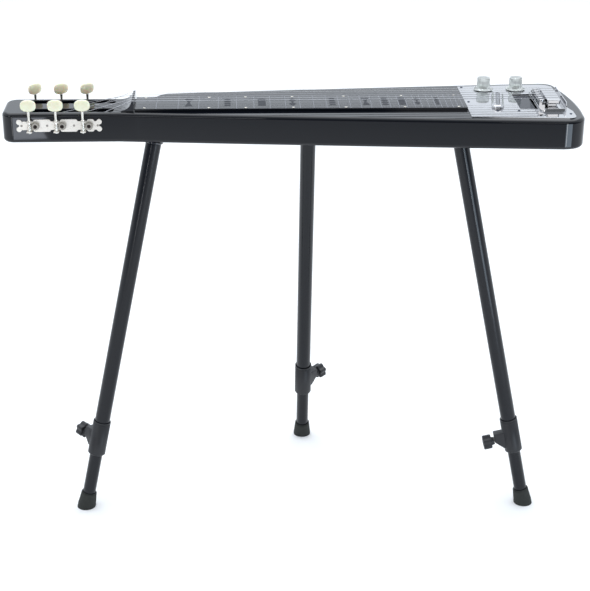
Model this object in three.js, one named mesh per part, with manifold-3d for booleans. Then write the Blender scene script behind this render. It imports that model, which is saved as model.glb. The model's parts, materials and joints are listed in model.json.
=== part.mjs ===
// Electric lap steel guitar on a stand of three screw-in legs, as one scene graph of named meshes.
// Lengths are in millimetres. In the guitar's own frame x = 0 is the crest of the nut and x grows
// towards the bridge, y = 0 is the centre line of the strings and y grows away from the player,
// and z = 0 is the top of the body. The last section stands the whole object on z = 0.

import * as THREE from 'three';
import { mergeVertices } from 'three/addons/utils/BufferGeometryUtils.js';
import Module from 'manifold-3d';

const wasm = await Module();
wasm.setup();

// Sizes that many pieces share; the scale runs from the nut's crest to the rear edge of the saddles,
// and all behind the fretboard keeps its distance from there
const scaleLength = 571.5;
const mergeTolerance = 1e-4;
const seatGap = 0.3;
const overrun = 1;

// Body: one plank, parallel at the head and widening from the nut to the tail
const bodyThickness = 42;
const bodyEdgeRadius = 5;
const headLength = 180;
const headWidth = 74;
const headCentreY = 1.3;
const headCornerRadius = 16;
const frontFlareX = -20;
const backFlareX = 13;
const backFlareLength = 32;
const backFlareRise = 24;
const sideBulge = 5;
const tailPastSaddles = 50.5;
const tailX = scaleLength + tailPastSaddles;
const tailFrontY = -86.5;
const tailBackY = 99.5;
const tailRake = 12;
const tailBulge = 5;
const tailFrontRadius = 32;
const tailBackRadius = 24;

// Tuners: three on a plate, with upright worms
const tunerPlateLength = 117;
const tunerPlatePastLastPost = 17.5;
const tunerPlatePastFirstPost = 26.1;
const postPitch = (tunerPlateLength - tunerPlatePastLastPost - tunerPlatePastFirstPost) / 2;
const lastPostX = -59.8;

// Slots of the head
const slotPastPosts = 14.8;
const slotStartX = lastPostX - 2 * postPitch - slotPastPosts;
const slotEndX = -27;
const slotWidth = 15.5;
const headWall = 9;
const slotCornerRadius = 3;

// Rollers, gears and worms of the tuners
const tunerZ = -16.5;
const rollerRadius = 5;
const rollerTipRadius = 3;
const rollerTipLength = 6;
const gearTeeth = 14;
const gearRadius = 5.6;
const toothDepth = 1;
const toothTipWidth = 0.75;
const toothRootWidth = 1.25;
const gearThickness = 3.2;
const wormAxisOut = 4.8;
const wormCoreRadius = 2.1;
const rollerNeckRadius = 3;
const wormRadius = 3.1;
const meshDepth = 0.6;
const wormThreads = 3;
const wormShaftRadius = 1.7;
const wormClearance = 0.35;
const tunerPlateHeight = 17.5;
const tunerPlateThickness = 1.2;
const tunerPlateWaist = 12;
const tunerPanelLead = 3;
const tunerPanelReach = 21;
const tunerPanelRadius = 3;
const tunerEarRadius = 3.7;
const tunerLugThickness = 1.5;
const tunerLugWidth = 7.5;
const tunerLugReach = 7.8;
const tunerLugTop = 6.1;
const tunerLugBottom = -7.7;
const wormShaftFoot = 1;
const wormBeadRadius = 2.6;
const wormBeadHeight = 1.6;
const wormTaperHeight = 6;
const wormNeckRadius = 1.6;
const buttonWidth = 21.6;
const buttonHeight = 16.4;
const buttonThickness = 7.6;
const buttonZ = 13;
const buttonTurns = { front: [0, 4, 0], back: [33, 26, 38] };
const buttonSeatDepth = 6;

// Strings, the sixth nearest the player
const stringRadii = [0.25, 0.3, 0.38, 0.45, 0.55, 0.68];
const nutSpacing = 10.2;
const bridgeSpacing = 10.4;
const rollerYs = [25.5, 22, 24, -18, -20, -23];
const rollerColumn = [0, 1, 2, 2, 1, 0];
const crestHeight = 13.6;
const stringAnchorDepth = 1.3;
const stringOverhang = 0.5;
const stringSides = 6;

// Nut
const nutWidth = 58;
const nutLength = 17.5;
const nutFoot = 1.5;
const nutCrestWidth = 3;
const nutFaceX = nutCrestWidth / 2;

// Fretboard
const fretboardThickness = 3.7;
const fretboardNutWidth = 56;
const fretboardEndWidth = 64;
const fretboardNutGap = 0.9;
const fretboardGap = 0.4;

// Control plate
const plateThickness = 1.2;
const plateBeforeSaddles = 107;
const plateStartX = scaleLength - plateBeforeSaddles;
const plateBeforeTail = 13.5;
const plateEndX = tailX - plateBeforeTail;
const plateFrontMargin = 10;
const plateBackMargin = 13;
const plateFrontRadius = 12;
const plateBackRadius = 20;
const plateEarLength = 20;
const plateEarTaper = 24;
const plateRake = 6.5;

// Cavity for the pickups and controls, routed from the top and closed by the plate
const cavityBeforeSaddles = 86.5;
const cavityLength = 82;
const cavityStartX = scaleLength - cavityBeforeSaddles;
const cavityEndX = cavityStartX + cavityLength;
const cavityFrontY = -44;
const cavityBackY = 77;
const cavityDepth = 31;
const cavityRadius = 8;

// Slanted pickup under a raised cover
const coverBeforeSaddles = 60.5;
const coverX = scaleLength - coverBeforeSaddles;
const coverY = 2.2;
const coverLength = 74;
const coverWidth = 17;
const coverHeight = 5.3;
const coverSlant = 8.8;
const coverSlotWidth = 5.4;
const coverSlotLength = 58;
const coreWidth = 4.6;
const coreLength = 57;
const coreDepth = 20;
const coreRecess = 0.5;

// Bridge pickup in its window
const windowBeforeSaddles = 21.8;
const windowX = scaleLength - windowBeforeSaddles;
const windowY = 3.3;
const windowWidth = 25;
const windowLength = 72;
const pickupMargin = 0.8;
const pickupTop = -2;
const pickupDepth = 18;

// Controls
const controlsBeforeSaddles = [71.5, 25];
const controlXs = controlsBeforeSaddles.map((before) => scaleLength - before);
const controlY = 63;
const potRadius = 10;
const potDepth = 11;
const bushingRadius = 3.6;
const bushingHeight = 4;
const controlShaftRadius = 2.4;
const controlShaftDepth = 9;
const knobSkirtRadius = 13.9;
const knobSkirtHeight = 2.6;
const knobBarrelRadius = 9.8;
const knobTopRadius = 9;
const knobHeight = 17;
const knobLift = 1;
const knobBore = 4.8;
const knobBoreDepth = 6;

// Bridge
const bridgePastSaddles = 10;
const bridgeX = scaleLength + bridgePastSaddles;
const bridgeY = 1;
const bridgeWidth = 38;
const bridgeLength = 97;
const bridgePlateThickness = 2.4;
const bridgeRimThickness = 1.2;
const bridgeRimTop = 5.3;
const bridgeWallTop = 12.1;
const bridgeCornerRadius = 8;
const saddleWidth = 8;
const saddleLobeRadius = 4;
const saddleX = scaleLength - saddleLobeRadius;
const saddleBaseHeight = 6;
const saddleCount = 6;
const blockPastSaddles = 2.5;
const blockStartX = scaleLength + blockPastSaddles;
const blockWidth = 18.7;
const blockLength = 68;
const blockTop = 13.9;
const blockHeadHeight = 6.5;
const blockFootInset = 3;
const blockEdge = 1.2;

// Output jack on the far side
const jackBeforeSaddles = 43.5;
const jackX = scaleLength - jackBeforeSaddles;
const jackZ = -21;
const jackFlangeRadius = 10;
const jackFlangeThickness = 2.4;
const jackSleeveRadius = 6;
const jackBore = 3.4;
const jackLength = 24;
const jackWall = 2;

// Legs: one set of sizes, three places
const rightLegBeforeSaddles = 116.5;
const rearLegBeforeSaddles = 325.5;
const legPlaces = {
  left: { x: 28, y: -25.5, splay: 194, clamp: 132 },
  right: { x: scaleLength - rightLegBeforeSaddles, y: -36.5, splay: -14, clamp: 180 },
  rear: { x: scaleLength - rearLegBeforeSaddles, y: 36, splay: 90, clamp: 42 },
};
const legTilt = 12.2;
const legLength = 586;
const socketFlangeRadius = 13.2;
const socketFlangeThickness = 3.1;
const socketBarrelRadius = 9;
const socketBarrelLength = 24;
const studRadius = 4.7;
const studLength = 20;
const upperTubeRadius = 11.1;
const tubeWall = 1.3;
const upperPlugLength = 9;
const lowerTubeRadius = 9.5;
const lowerTubeTop = 90;
const collarRadius = 13;
const collarAboveSole = 91;
const collarLength = 55;
const collarBottom = legLength - collarAboveSole;
const collarTop = collarBottom - collarLength;
const upperTubeInCollar = 15;
const upperTubeEnd = collarTop + upperTubeInCollar;
const bossReach = 26;
const bossWidth = 14;
const bossHeight = 26;
const bossAboveCollarEnd = 22;
const bossCentre = collarBottom - bossAboveCollarEnd;
const clampStudRadius = 3;
const starRadius = 11.8;
const starLobes = 6;
const starLobeDepthShare = 0.2;
const starStart = 31;
const starThickness = 12.5;
const starEdge = 1.6;
const footHeight = 25;
const footTop = legLength - footHeight;
const footTopRadius = 11.4;
const footBottomRadius = 13.6;
const footLip = 3;
const footInnerDepth = 19;

const degrees = Math.PI / 180;
const headFrontY = headCentreY - headWidth / 2;
const headBackY = headCentreY + headWidth / 2;
const slotYs = {
  front: headFrontY + headWall + slotWidth / 2,
  back: headBackY - headWall - slotWidth / 2,
};

// Turns a geometry into a mesh of shared vertices without collapsed triangles
function sealed(geometry) {
  const bare = geometry.clone();
  for (const name of Object.keys(bare.attributes)) {
    if (name !== 'position') bare.deleteAttribute(name);
  }
  const merged = mergeVertices(bare, mergeTolerance);
  const index = Array.from(merged.index.array);
  const kept = [];
  for (let i = 0; i < index.length; i += 3) {
    const [a, b, c] = index.slice(i, i + 3);
    if (a !== b && b !== c && c !== a) kept.push(a, b, c);
  }
  merged.setIndex(kept);
  return merged;
}

function signedVolume(geometry) {
  const position = geometry.attributes.position;
  const corners = [new THREE.Vector3(), new THREE.Vector3(), new THREE.Vector3()];
  let sum = 0;
  for (let i = 0; i < geometry.index.count; i += 3) {
    corners.forEach((corner, j) => corner.fromBufferAttribute(position, geometry.index.getX(i + j)));
    sum += corners[0].dot(corners[1].clone().cross(corners[2]));
  }
  return sum / 6;
}

function flipped(geometry) {
  const index = geometry.index.array;
  for (let i = 0; i < index.length; i += 3) {
    [index[i + 1], index[i + 2]] = [index[i + 2], index[i + 1]];
  }
  return geometry;
}

function solidOf(geometry) {
  const closed = sealed(geometry);
  return new wasm.Manifold(new wasm.Mesh({
    numProp: 3,
    vertProperties: new Float32Array(closed.attributes.position.array),
    triVerts: new Uint32Array(closed.index.array),
  }));
}

function geometryOf(solid) {
  const mesh = solid.getMesh();
  const geometry = new THREE.BufferGeometry();
  geometry.setAttribute('position', new THREE.BufferAttribute(new Float32Array(mesh.vertProperties), 3));
  geometry.setIndex(new THREE.BufferAttribute(new Uint32Array(mesh.triVerts), 1));
  return geometry;
}

// First geometry with the others joined to it, or cut out of it
function joined(first, ...others) {
  return geometryOf(others.reduce((sum, other) => sum.add(solidOf(other)), solidOf(first)));
}

function cut(first, ...others) {
  return geometryOf(others.reduce((sum, other) => sum.subtract(solidOf(other)), solidOf(first)));
}

// A profile of [radius, height] points turned about the z axis
function turned(profile, segments) {
  const points = profile.map(([radius, height]) => new THREE.Vector2(radius, height));
  const startsOnAxis = profile[0][0] === 0;
  if (!startsOnAxis) points.push(points[0].clone());
  const shell = sealed(new THREE.LatheGeometry(points, segments).rotateX(Math.PI / 2));
  return signedVolume(shell) < 0 ? flipped(shell) : shell;
}

function rod(radius, low, high, segments) {
  return turned([[0, low], [radius, low], [radius, high], [0, high]], segments);
}

// The same rod along y, from the nearer end to the farther
function rodAlongY(radius, near, far, segments) {
  return rod(radius, near, far, segments).rotateX(-Math.PI / 2);
}

function block(width, depth, height, x, y, z) {
  return new THREE.BoxGeometry(width, depth, height).translate(x, y, z);
}

function slab(shape, thickness, curveSegments = 6) {
  return new THREE.ExtrudeGeometry(shape, { depth: thickness, bevelEnabled: false, curveSegments });
}

function roundedRectangle(startX, endX, startY, endY, radius) {
  const shape = new THREE.Shape();
  shape.moveTo(startX + radius, startY);
  shape.lineTo(endX - radius, startY);
  shape.absarc(endX - radius, startY + radius, radius, -Math.PI / 2, 0);
  shape.lineTo(endX, endY - radius);
  shape.absarc(endX - radius, endY - radius, radius, 0, Math.PI / 2);
  shape.lineTo(startX + radius, endY);
  shape.absarc(startX + radius, endY - radius, radius, Math.PI / 2, Math.PI);
  shape.lineTo(startX, startY + radius);
  shape.absarc(startX + radius, startY + radius, radius, Math.PI, Math.PI * 1.5);
  return shape;
}

function finish(color, roughness, metalness) {
  return new THREE.MeshStandardMaterial({ color, roughness, metalness });
}

function piece(parent, name, geometry, material) {
  const mesh = new THREE.Mesh(geometry, material);
  mesh.name = name;
  parent.add(mesh);
  return mesh;
}

const guitar = new THREE.Group();

// Sides of the body as gentle curves, so that what lies along them can follow
const backFlareEndX = backFlareX + backFlareLength;
const frontSide = new THREE.QuadraticBezierCurve(
  new THREE.Vector2(frontFlareX, headFrontY),
  new THREE.Vector2((frontFlareX + tailX) / 2, (headFrontY + tailFrontY) / 2 - sideBulge),
  new THREE.Vector2(tailX - tailFrontRadius, tailFrontY),
);
const backSide = new THREE.QuadraticBezierCurve(
  new THREE.Vector2(tailX - tailRake - tailBackRadius, tailBackY),
  new THREE.Vector2((backFlareEndX + tailX) / 2, (headBackY + backFlareRise + tailBackY) / 2 + sideBulge),
  new THREE.Vector2(backFlareEndX, headBackY + backFlareRise),
);

// The y of a side where it passes a given x
function sideAt(curve, x) {
  const steps = 200;
  let best = curve.getPoint(0);
  for (let i = 1; i <= steps; i += 1) {
    const point = curve.getPoint(i / steps);
    if (Math.abs(point.x - x) < Math.abs(best.x - x)) best = point;
  }
  return best.y;
}

function curveThrough(shape, curve) {
  shape.quadraticCurveTo(curve.v1.x, curve.v1.y, curve.v2.x, curve.v2.y);
}

function bodyOutline() {
  const shape = new THREE.Shape();
  const r = headCornerRadius;
  shape.moveTo(-headLength + r, headFrontY);
  shape.lineTo(frontFlareX, headFrontY);
  curveThrough(shape, frontSide);
  shape.quadraticCurveTo(tailX, tailFrontY, tailX, tailFrontY + tailFrontRadius);
  const tailMiddleY = (tailFrontY + tailBackY) / 2;
  shape.quadraticCurveTo(tailX + tailBulge, tailMiddleY, tailX - tailRake, tailBackY - tailBackRadius);
  shape.quadraticCurveTo(tailX - tailRake, tailBackY, tailX - tailRake - tailBackRadius, tailBackY);
  curveThrough(shape, backSide);
  const flareTurn = backFlareLength / 2;
  shape.bezierCurveTo(
    backFlareEndX - flareTurn, headBackY + backFlareRise - sideBulge / 2,
    backFlareX + flareTurn, headBackY,
    backFlareX, headBackY,
  );
  shape.lineTo(-headLength + r, headBackY);
  shape.absarc(-headLength + r, headBackY - r, r, Math.PI / 2, Math.PI);
  shape.lineTo(-headLength, headFrontY + r);
  shape.absarc(-headLength + r, headFrontY + r, r, Math.PI, Math.PI * 1.5);
  return shape;
}

// Frame of a leg: its origin lies on the underside and its -z runs down the leg
function legFrame(place) {
  const frame = new THREE.Group();
  frame.position.set(place.x, place.y, -bodyThickness);
  frame.rotation.set(0, -legTilt * degrees, place.splay * degrees, 'ZYX');
  frame.updateMatrix();
  return frame;
}

const postXs = [0, 1, 2].map((column) => lastPostX - column * postPitch);
const wormDistance = gearRadius + wormRadius - meshDepth;
const sides = {
  front: { faceY: headFrontY, outward: -1 },
  back: { faceY: headBackY, outward: 1 },
};

function ordered(a, b) {
  return a < b ? [a, b] : [b, a];
}

// Rods through the walls of the head that the rollers turn in
function rollerBores() {
  const bores = [];
  for (const { faceY, outward } of Object.values(sides)) {
    for (const x of postXs) {
      const inner = faceY - outward * (headWall + slotWidth / 2);
      const tip = faceY - outward * (headWall + slotWidth + rollerTipLength + overrun);
      const wide = rodAlongY(rollerRadius + seatGap, ...ordered(faceY + outward * overrun, inner), 12);
      const narrow = rodAlongY(rollerTipRadius + seatGap, ...ordered(inner, tip), 10);
      bores.push(wide.translate(x, 0, tunerZ), narrow.translate(x, 0, tunerZ));
    }
  }
  return bores;
}

function makeBody() {
  const plank = new THREE.ExtrudeGeometry(bodyOutline(), {
    depth: bodyThickness - 2 * bodyEdgeRadius,
    bevelEnabled: true,
    bevelThickness: bodyEdgeRadius,
    bevelSize: bodyEdgeRadius,
    bevelOffset: -bodyEdgeRadius,
    bevelSegments: 2,
    curveSegments: 6,
  }).translate(0, 0, bodyEdgeRadius - bodyThickness);
  const slots = Object.values(slotYs).map((y) => slab(
    roundedRectangle(slotStartX, slotEndX, y - slotWidth / 2, y + slotWidth / 2, slotCornerRadius),
    bodyThickness + 2 * overrun, 2,
  ).translate(0, 0, -bodyThickness - overrun));
  const cavity = slab(
    roundedRectangle(cavityStartX, cavityEndX, cavityFrontY, cavityBackY, cavityRadius),
    cavityDepth + overrun, 2,
  ).translate(0, 0, -cavityDepth);
  const sockets = Object.values(legPlaces).map((place) => {
    const frame = legFrame(place);
    const barrel = rod(socketBarrelRadius + seatGap, -overrun, socketBarrelLength + seatGap, 20);
    const flange = rod(socketFlangeRadius + seatGap, -bossReach, seatGap, 20);
    return joined(barrel, flange).applyMatrix4(frame.matrix);
  });
  const jackFaceY = sideAt(backSide, jackX);
  const jackSleeve = rodAlongY(jackSleeveRadius + seatGap, jackFaceY - jackLength - overrun, jackFaceY, 16);
  const jackSeat = rodAlongY(jackFlangeRadius + seatGap, jackFaceY - jackFlangeThickness,
    jackFaceY + jackLength, 20);
  const jackHole = joined(jackSleeve, jackSeat).translate(jackX, 0, jackZ);
  return cut(plank, ...slots, cavity, ...sockets, ...rollerBores(), jackHole);
}

const blackLacquer = finish(0x14161b, 0.12, 0.1);
const blackPlastic = finish(0x101114, 0.35, 0);
const chrome = finish(0xd9dcdf, 0.08, 1);
const nickel = finish(0xc9c5bb, 0.25, 1);
const steel = finish(0xb4b6b8, 0.3, 1);
const satinBlack = finish(0x1b1c1f, 0.4, 0.3);
const blackRubber = finish(0x17181a, 0.75, 0);
const pearl = finish(0xedf2dc, 0.25, 0);
const clearPlastic = finish(0xe4ebe4, 0.15, 0);

piece(guitar, 'body', makeBody(), blackLacquer);

// Fretboard: a tapered slab on the top of the body, from the nut to the control plate
function makeFretboard() {
  const start = nutFaceX + fretboardNutGap;
  const end = plateStartX - fretboardGap;
  const shape = new THREE.Shape([
    new THREE.Vector2(start, -fretboardNutWidth / 2),
    new THREE.Vector2(end, -fretboardEndWidth / 2),
    new THREE.Vector2(end, fretboardEndWidth / 2),
    new THREE.Vector2(start, fretboardNutWidth / 2),
  ]);
  return slab(shape, fretboardThickness);
}

piece(guitar, 'fretboard', makeFretboard(), blackPlastic);

// Nut: a raised foot with a hollow ramp on the head side and a thin crest
function makeNut() {
  const section = new THREE.Shape();
  section.moveTo(-nutLength + nutFaceX, 0);
  section.lineTo(nutFaceX, 0);
  section.lineTo(nutCrestWidth / 2, crestHeight);
  section.lineTo(-nutCrestWidth / 2, crestHeight);
  section.quadraticCurveTo(-nutLength / 4, crestHeight / 4, -nutLength + nutFaceX, nutFoot);
  return slab(section, nutWidth, 8).rotateX(Math.PI / 2).translate(0, nutWidth / 2, 0);
}

piece(guitar, 'nut', makeNut(), chrome);

// Control plate with its openings for the two pickups and the two controls
function plateOutline() {
  const frontStart = sideAt(frontSide, plateStartX) + plateFrontMargin;
  const frontEnd = sideAt(frontSide, plateEndX) + plateFrontMargin;
  const backStart = sideAt(backSide, plateStartX) - plateBackMargin;
  const backEnd = tailBackY - plateBackMargin;
  const backX = plateEndX - plateRake;
  const earEnd = frontEnd + plateFrontRadius + plateEarLength;
  const shape = new THREE.Shape();
  shape.moveTo(plateStartX, frontStart);
  shape.lineTo(plateEndX - plateFrontRadius, frontEnd);
  shape.quadraticCurveTo(plateEndX, frontEnd, plateEndX, frontEnd + plateFrontRadius);
  shape.lineTo(plateEndX, earEnd);
  shape.lineTo(backX, earEnd + plateEarTaper);
  shape.lineTo(backX, backEnd - plateBackRadius);
  shape.quadraticCurveTo(backX, backEnd, backX - plateBackRadius, backEnd);
  shape.lineTo(plateStartX, backStart);
  return shape;
}

// Pieces of the slanted pickup are made along y and then turned and placed together
function slanted(geometry) {
  return geometry.rotateZ(-coverSlant * degrees).translate(coverX, coverY, 0);
}

function stadium(width, length) {
  const shape = new THREE.Shape();
  const centre = (length - width) / 2;
  shape.absarc(0, centre, width / 2, 0, Math.PI);
  shape.absarc(0, -centre, width / 2, Math.PI, 2 * Math.PI);
  return shape;
}

function makeControlPlate() {
  const reach = plateThickness + 2 * overrun;
  const sheet = slab(plateOutline(), plateThickness, 5);
  const coreHole = slanted(block(coreWidth + 2 * seatGap, coreLength + 2 * seatGap, reach, 0, 0, 0));
  const windowHole = block(windowWidth, windowLength, reach, windowX, windowY, plateThickness / 2);
  const bushings = controlXs.map((x) => (
    rod(bushingRadius + seatGap, -overrun, plateThickness + overrun, 16).translate(x, controlY, 0)
  ));
  return cut(sheet, coreHole, windowHole, ...bushings);
}

piece(guitar, 'control_plate', makeControlPlate(), chrome);

// Slanted pickup: a raised round-ended cover with a slot, and the bar of poles in it
const coverTop = plateThickness + coverHeight;
const cover = slab(stadium(coverWidth, coverLength), coverHeight, 8).translate(0, 0, plateThickness);
const coverSlot = slab(stadium(coverSlotWidth, coverSlotLength), coverHeight + 2 * overrun, 4)
  .translate(0, 0, plateThickness - overrun);
piece(guitar, 'pickup_cover', slanted(cut(cover, coverSlot)), chrome);

const coreHigh = coverTop - coreRecess;
const coreLow = coreHigh - coreDepth;
const core = slab(stadium(coreWidth, coreLength), coreDepth, 4).translate(0, 0, coreLow);
piece(guitar, 'pickup_core', slanted(core), steel);

// Bridge pickup: a black case that stands on the floor of the cavity, under the window
const pickupRib = pickupTop - pickupDepth;
const pickupCase = slab(roundedRectangle(
  windowX - windowWidth / 2 + pickupMargin, windowX + windowWidth / 2 - pickupMargin,
  windowY - windowLength / 2 + pickupMargin, windowY + windowLength / 2 - pickupMargin, pickupMargin,
), pickupDepth, 3).translate(0, 0, pickupRib);
const pickupFoot = block(windowWidth / 2, windowLength / 2, cavityDepth + pickupRib + overrun,
  windowX, windowY, (pickupRib - cavityDepth + overrun) / 2);
piece(guitar, 'bridge_pickup', joined(pickupCase, pickupFoot), blackPlastic);

// Volume and tone controls: case and bushing under the plate, knob with its shaft above
const shaftHole = controlShaftRadius + seatGap;
const potProfile = [
  [0, -potDepth + overrun], [shaftHole, -potDepth + overrun], [shaftHole, bushingHeight],
  [bushingRadius, bushingHeight], [bushingRadius, -seatGap], [potRadius, -seatGap],
  [potRadius, -potDepth], [0, -potDepth],
];

const knobBottom = plateThickness + knobLift;
const knobTop = knobBottom + knobHeight;
const knobProfile = [
  [0, -controlShaftDepth], [controlShaftRadius, -controlShaftDepth],
  [controlShaftRadius, knobBottom + knobBoreDepth], [knobBore, knobBottom + knobBoreDepth],
  [knobBore, knobBottom], [knobSkirtRadius, knobBottom], [knobSkirtRadius, knobBottom + overrun],
  [knobBarrelRadius, knobBottom + knobSkirtHeight], [knobTopRadius, knobTop - overrun],
  [knobTopRadius - overrun, knobTop], [0, knobTop],
];

['volume', 'tone'].forEach((name, i) => {
  piece(guitar, `${name}_pot`, turned(potProfile, 16), steel)
    .position.set(controlXs[i], controlY, 0);
  piece(guitar, `${name}_knob`, turned(knobProfile, 20), clearPlastic)
    .position.set(controlXs[i], controlY, 0);
});

// Bridge: a tray on the plate, a bar of six saddles and the block that anchors the strings
const bridgeFloor = plateThickness + bridgePlateThickness;
const bridgeStartX = bridgeX - bridgeWidth / 2;
const bridgeEndX = bridgeX + bridgeWidth / 2;

function makeBridgeTray() {
  const half = bridgeLength / 2;
  const footprint = (margin) => roundedRectangle(
    bridgeStartX + margin, bridgeEndX - margin, bridgeY - half + margin, bridgeY + half - margin,
    bridgeCornerRadius - margin,
  );
  const rim = slab(footprint(0), bridgeRimTop - plateThickness, 4).translate(0, 0, plateThickness);
  const inside = slab(footprint(bridgeRimThickness), bridgeRimTop, 4).translate(0, 0, bridgeFloor);
  const opening = block(2 * bridgeCornerRadius, bridgeLength, bridgeRimTop,
    bridgeStartX, bridgeY, bridgeFloor + bridgeRimTop / 2);
  const wall = block(bridgeRimThickness, bridgeLength - 2 * bridgeCornerRadius, bridgeWallTop - plateThickness,
    bridgeEndX - bridgeRimThickness / 2, bridgeY, (bridgeWallTop + plateThickness) / 2);
  return joined(cut(rim, inside, opening), wall);
}

piece(guitar, 'bridge_tray', makeBridgeTray(), chrome);

const saddleTop = crestHeight;
function makeSaddles() {
  const low = bridgeFloor;
  const section = new THREE.Shape();
  section.moveTo(saddleX - saddleWidth / 2, low);
  section.lineTo(saddleX + saddleWidth / 2, low);
  section.lineTo(saddleX + saddleWidth / 2, low + saddleBaseHeight);
  section.lineTo(saddleX - saddleWidth / 2, low + saddleBaseHeight);
  const width = bridgeSpacing * saddleCount;
  const bar = slab(section, width).rotateX(Math.PI / 2).translate(0, width / 2, 0);
  const lobes = Array.from({ length: saddleCount }, (_, i) => {
    const y = (i - (saddleCount - 1) / 2) * bridgeSpacing;
    const half = (saddleTop - low) / 2;
    return rod(saddleLobeRadius, -half, half, 10).translate(saddleX, y, low + half);
  });
  return joined(bar, ...lobes);
}

piece(guitar, 'bridge_saddles', makeSaddles(), chrome);

const blockHeadLow = blockTop - blockHeadHeight;
const blockHead = new THREE.ExtrudeGeometry(roundedRectangle(
  blockStartX, blockStartX + blockWidth, bridgeY - blockLength / 2, bridgeY + blockLength / 2, 2 * blockEdge,
), {
  depth: blockHeadHeight - 2 * blockEdge,
  bevelEnabled: true,
  bevelThickness: blockEdge,
  bevelSize: blockEdge,
  bevelOffset: -blockEdge,
  bevelSegments: 2,
  curveSegments: 3,
}).translate(0, 0, blockHeadLow + blockEdge);
const blockFootHeight = blockHeadLow + blockEdge - bridgeFloor;
const blockFoot = block(blockWidth - 2 * blockFootInset, blockLength - 2 * blockFootInset, blockFootHeight,
  blockStartX + blockWidth / 2, bridgeY, bridgeFloor + blockFootHeight / 2);
piece(guitar, 'string_anchor', joined(blockHead, blockFoot), chrome);

// Tuner plates, made as if on the far side of the head: x along it, y outward, z = 0 on the gears
function makeTunerPlate() {
  const half = tunerPlateHeight / 2;
  const end = lastPostX + tunerPlatePastLastPost;
  const start = end - tunerPlateLength;
  const middle = (start + end) / 2;
  const t = tunerPlateThickness;
  const strip = block(tunerPlateLength - 2 * tunerEarRadius, tunerPlateWaist, t, middle, 0, t / 2);
  const panels = postXs.map((x) => slab(roundedRectangle(
    x - tunerPanelLead, Math.min(x + tunerPanelReach, end - 2 * tunerEarRadius - tunerPanelRadius),
    -half, half, tunerPanelRadius,
  ), t, 2));
  const ears = [start + tunerEarRadius, end - tunerEarRadius].flatMap((x) => [-1, 1].map((side) => (
    rod(tunerEarRadius, 0, t, 12).translate(x, side * (half - tunerEarRadius), 0)
  )));
  const lugHalf = tunerLugThickness / 2;
  const lugMiddle = (tunerLugTop + tunerLugBottom) / 2;
  const tongues = postXs.map((x) => block(tunerLugWidth - lugHalf, tunerLugTop - tunerLugBottom, t,
    x - wormDistance, -lugMiddle, t / 2));
  const flat = joined(strip, ...panels, ...ears, ...tongues).rotateX(-Math.PI / 2);
  const lugs = postXs.flatMap((x) => [tunerLugTop, tunerLugBottom].map((z) => (
    block(tunerLugWidth, tunerLugReach, tunerLugThickness, x - wormDistance, tunerLugReach / 2, z)
  )));
  const neckHoles = postXs.map((x) => (
    rodAlongY(rollerNeckRadius + seatGap, -overrun, t + overrun, 10).translate(x, 0, 0)
  ));
  const wormHoles = postXs.map((x) => (
    rod(wormShaftRadius + wormClearance, -tunerPlateHeight, tunerPlateHeight, 10)
      .translate(x - wormDistance, wormAxisOut, 0)
  ));
  return cut(joined(flat, ...lugs), ...neckHoles, ...wormHoles);
}

// Puts a geometry made for the far side on either side of the head
function onSide(geometry, { faceY, outward }) {
  const placed = sealed(geometry).scale(1, outward, 1).translate(0, faceY, tunerZ);
  return outward < 0 ? flipped(placed) : placed;
}

// Post: the gear, its neck through the plate, the roller across the slot and the tip in the rib
function gearOutline() {
  const shape = new THREE.Shape();
  const rootRadius = gearRadius - toothDepth;
  for (let tooth = 0; tooth < gearTeeth; tooth += 1) {
    const middle = ((tooth + 0.5) / gearTeeth) * 2 * Math.PI;
    const tip = toothTipWidth / 2 / gearRadius;
    const root = toothRootWidth / 2 / rootRadius;
    const corners = [[rootRadius, -root], [gearRadius, -tip], [gearRadius, tip], [rootRadius, root]];
    for (const [radius, turn] of corners) {
      const x = radius * Math.cos(middle + turn);
      const y = radius * Math.sin(middle + turn);
      if (tooth === 0 && turn === -root) shape.moveTo(x, y);
      else shape.lineTo(x, y);
    }
  }
  return shape;
}

function makePost() {
  const acrossSlot = headWall + slotWidth - seatGap;
  const gearIn = wormAxisOut - gearThickness / 2;
  const axle = turned([
    [0, -headWall - slotWidth - rollerTipLength], [rollerTipRadius, -headWall - slotWidth - rollerTipLength],
    [rollerTipRadius, -acrossSlot], [rollerRadius, -acrossSlot], [rollerRadius, -seatGap],
    [rollerNeckRadius, -seatGap], [rollerNeckRadius, gearIn + gearThickness / 2],
    [0, gearIn + gearThickness / 2],
  ], 14);
  const gear = slab(gearOutline(), gearThickness).translate(0, 0, gearIn);
  return joined(axle, gear).rotateX(-Math.PI / 2);
}

// Worm: a helical thread on an upright shaft that rises through the lugs into the button
const wormLead = (2 * Math.PI * (gearRadius - meshDepth / 2)) / gearTeeth;

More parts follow.
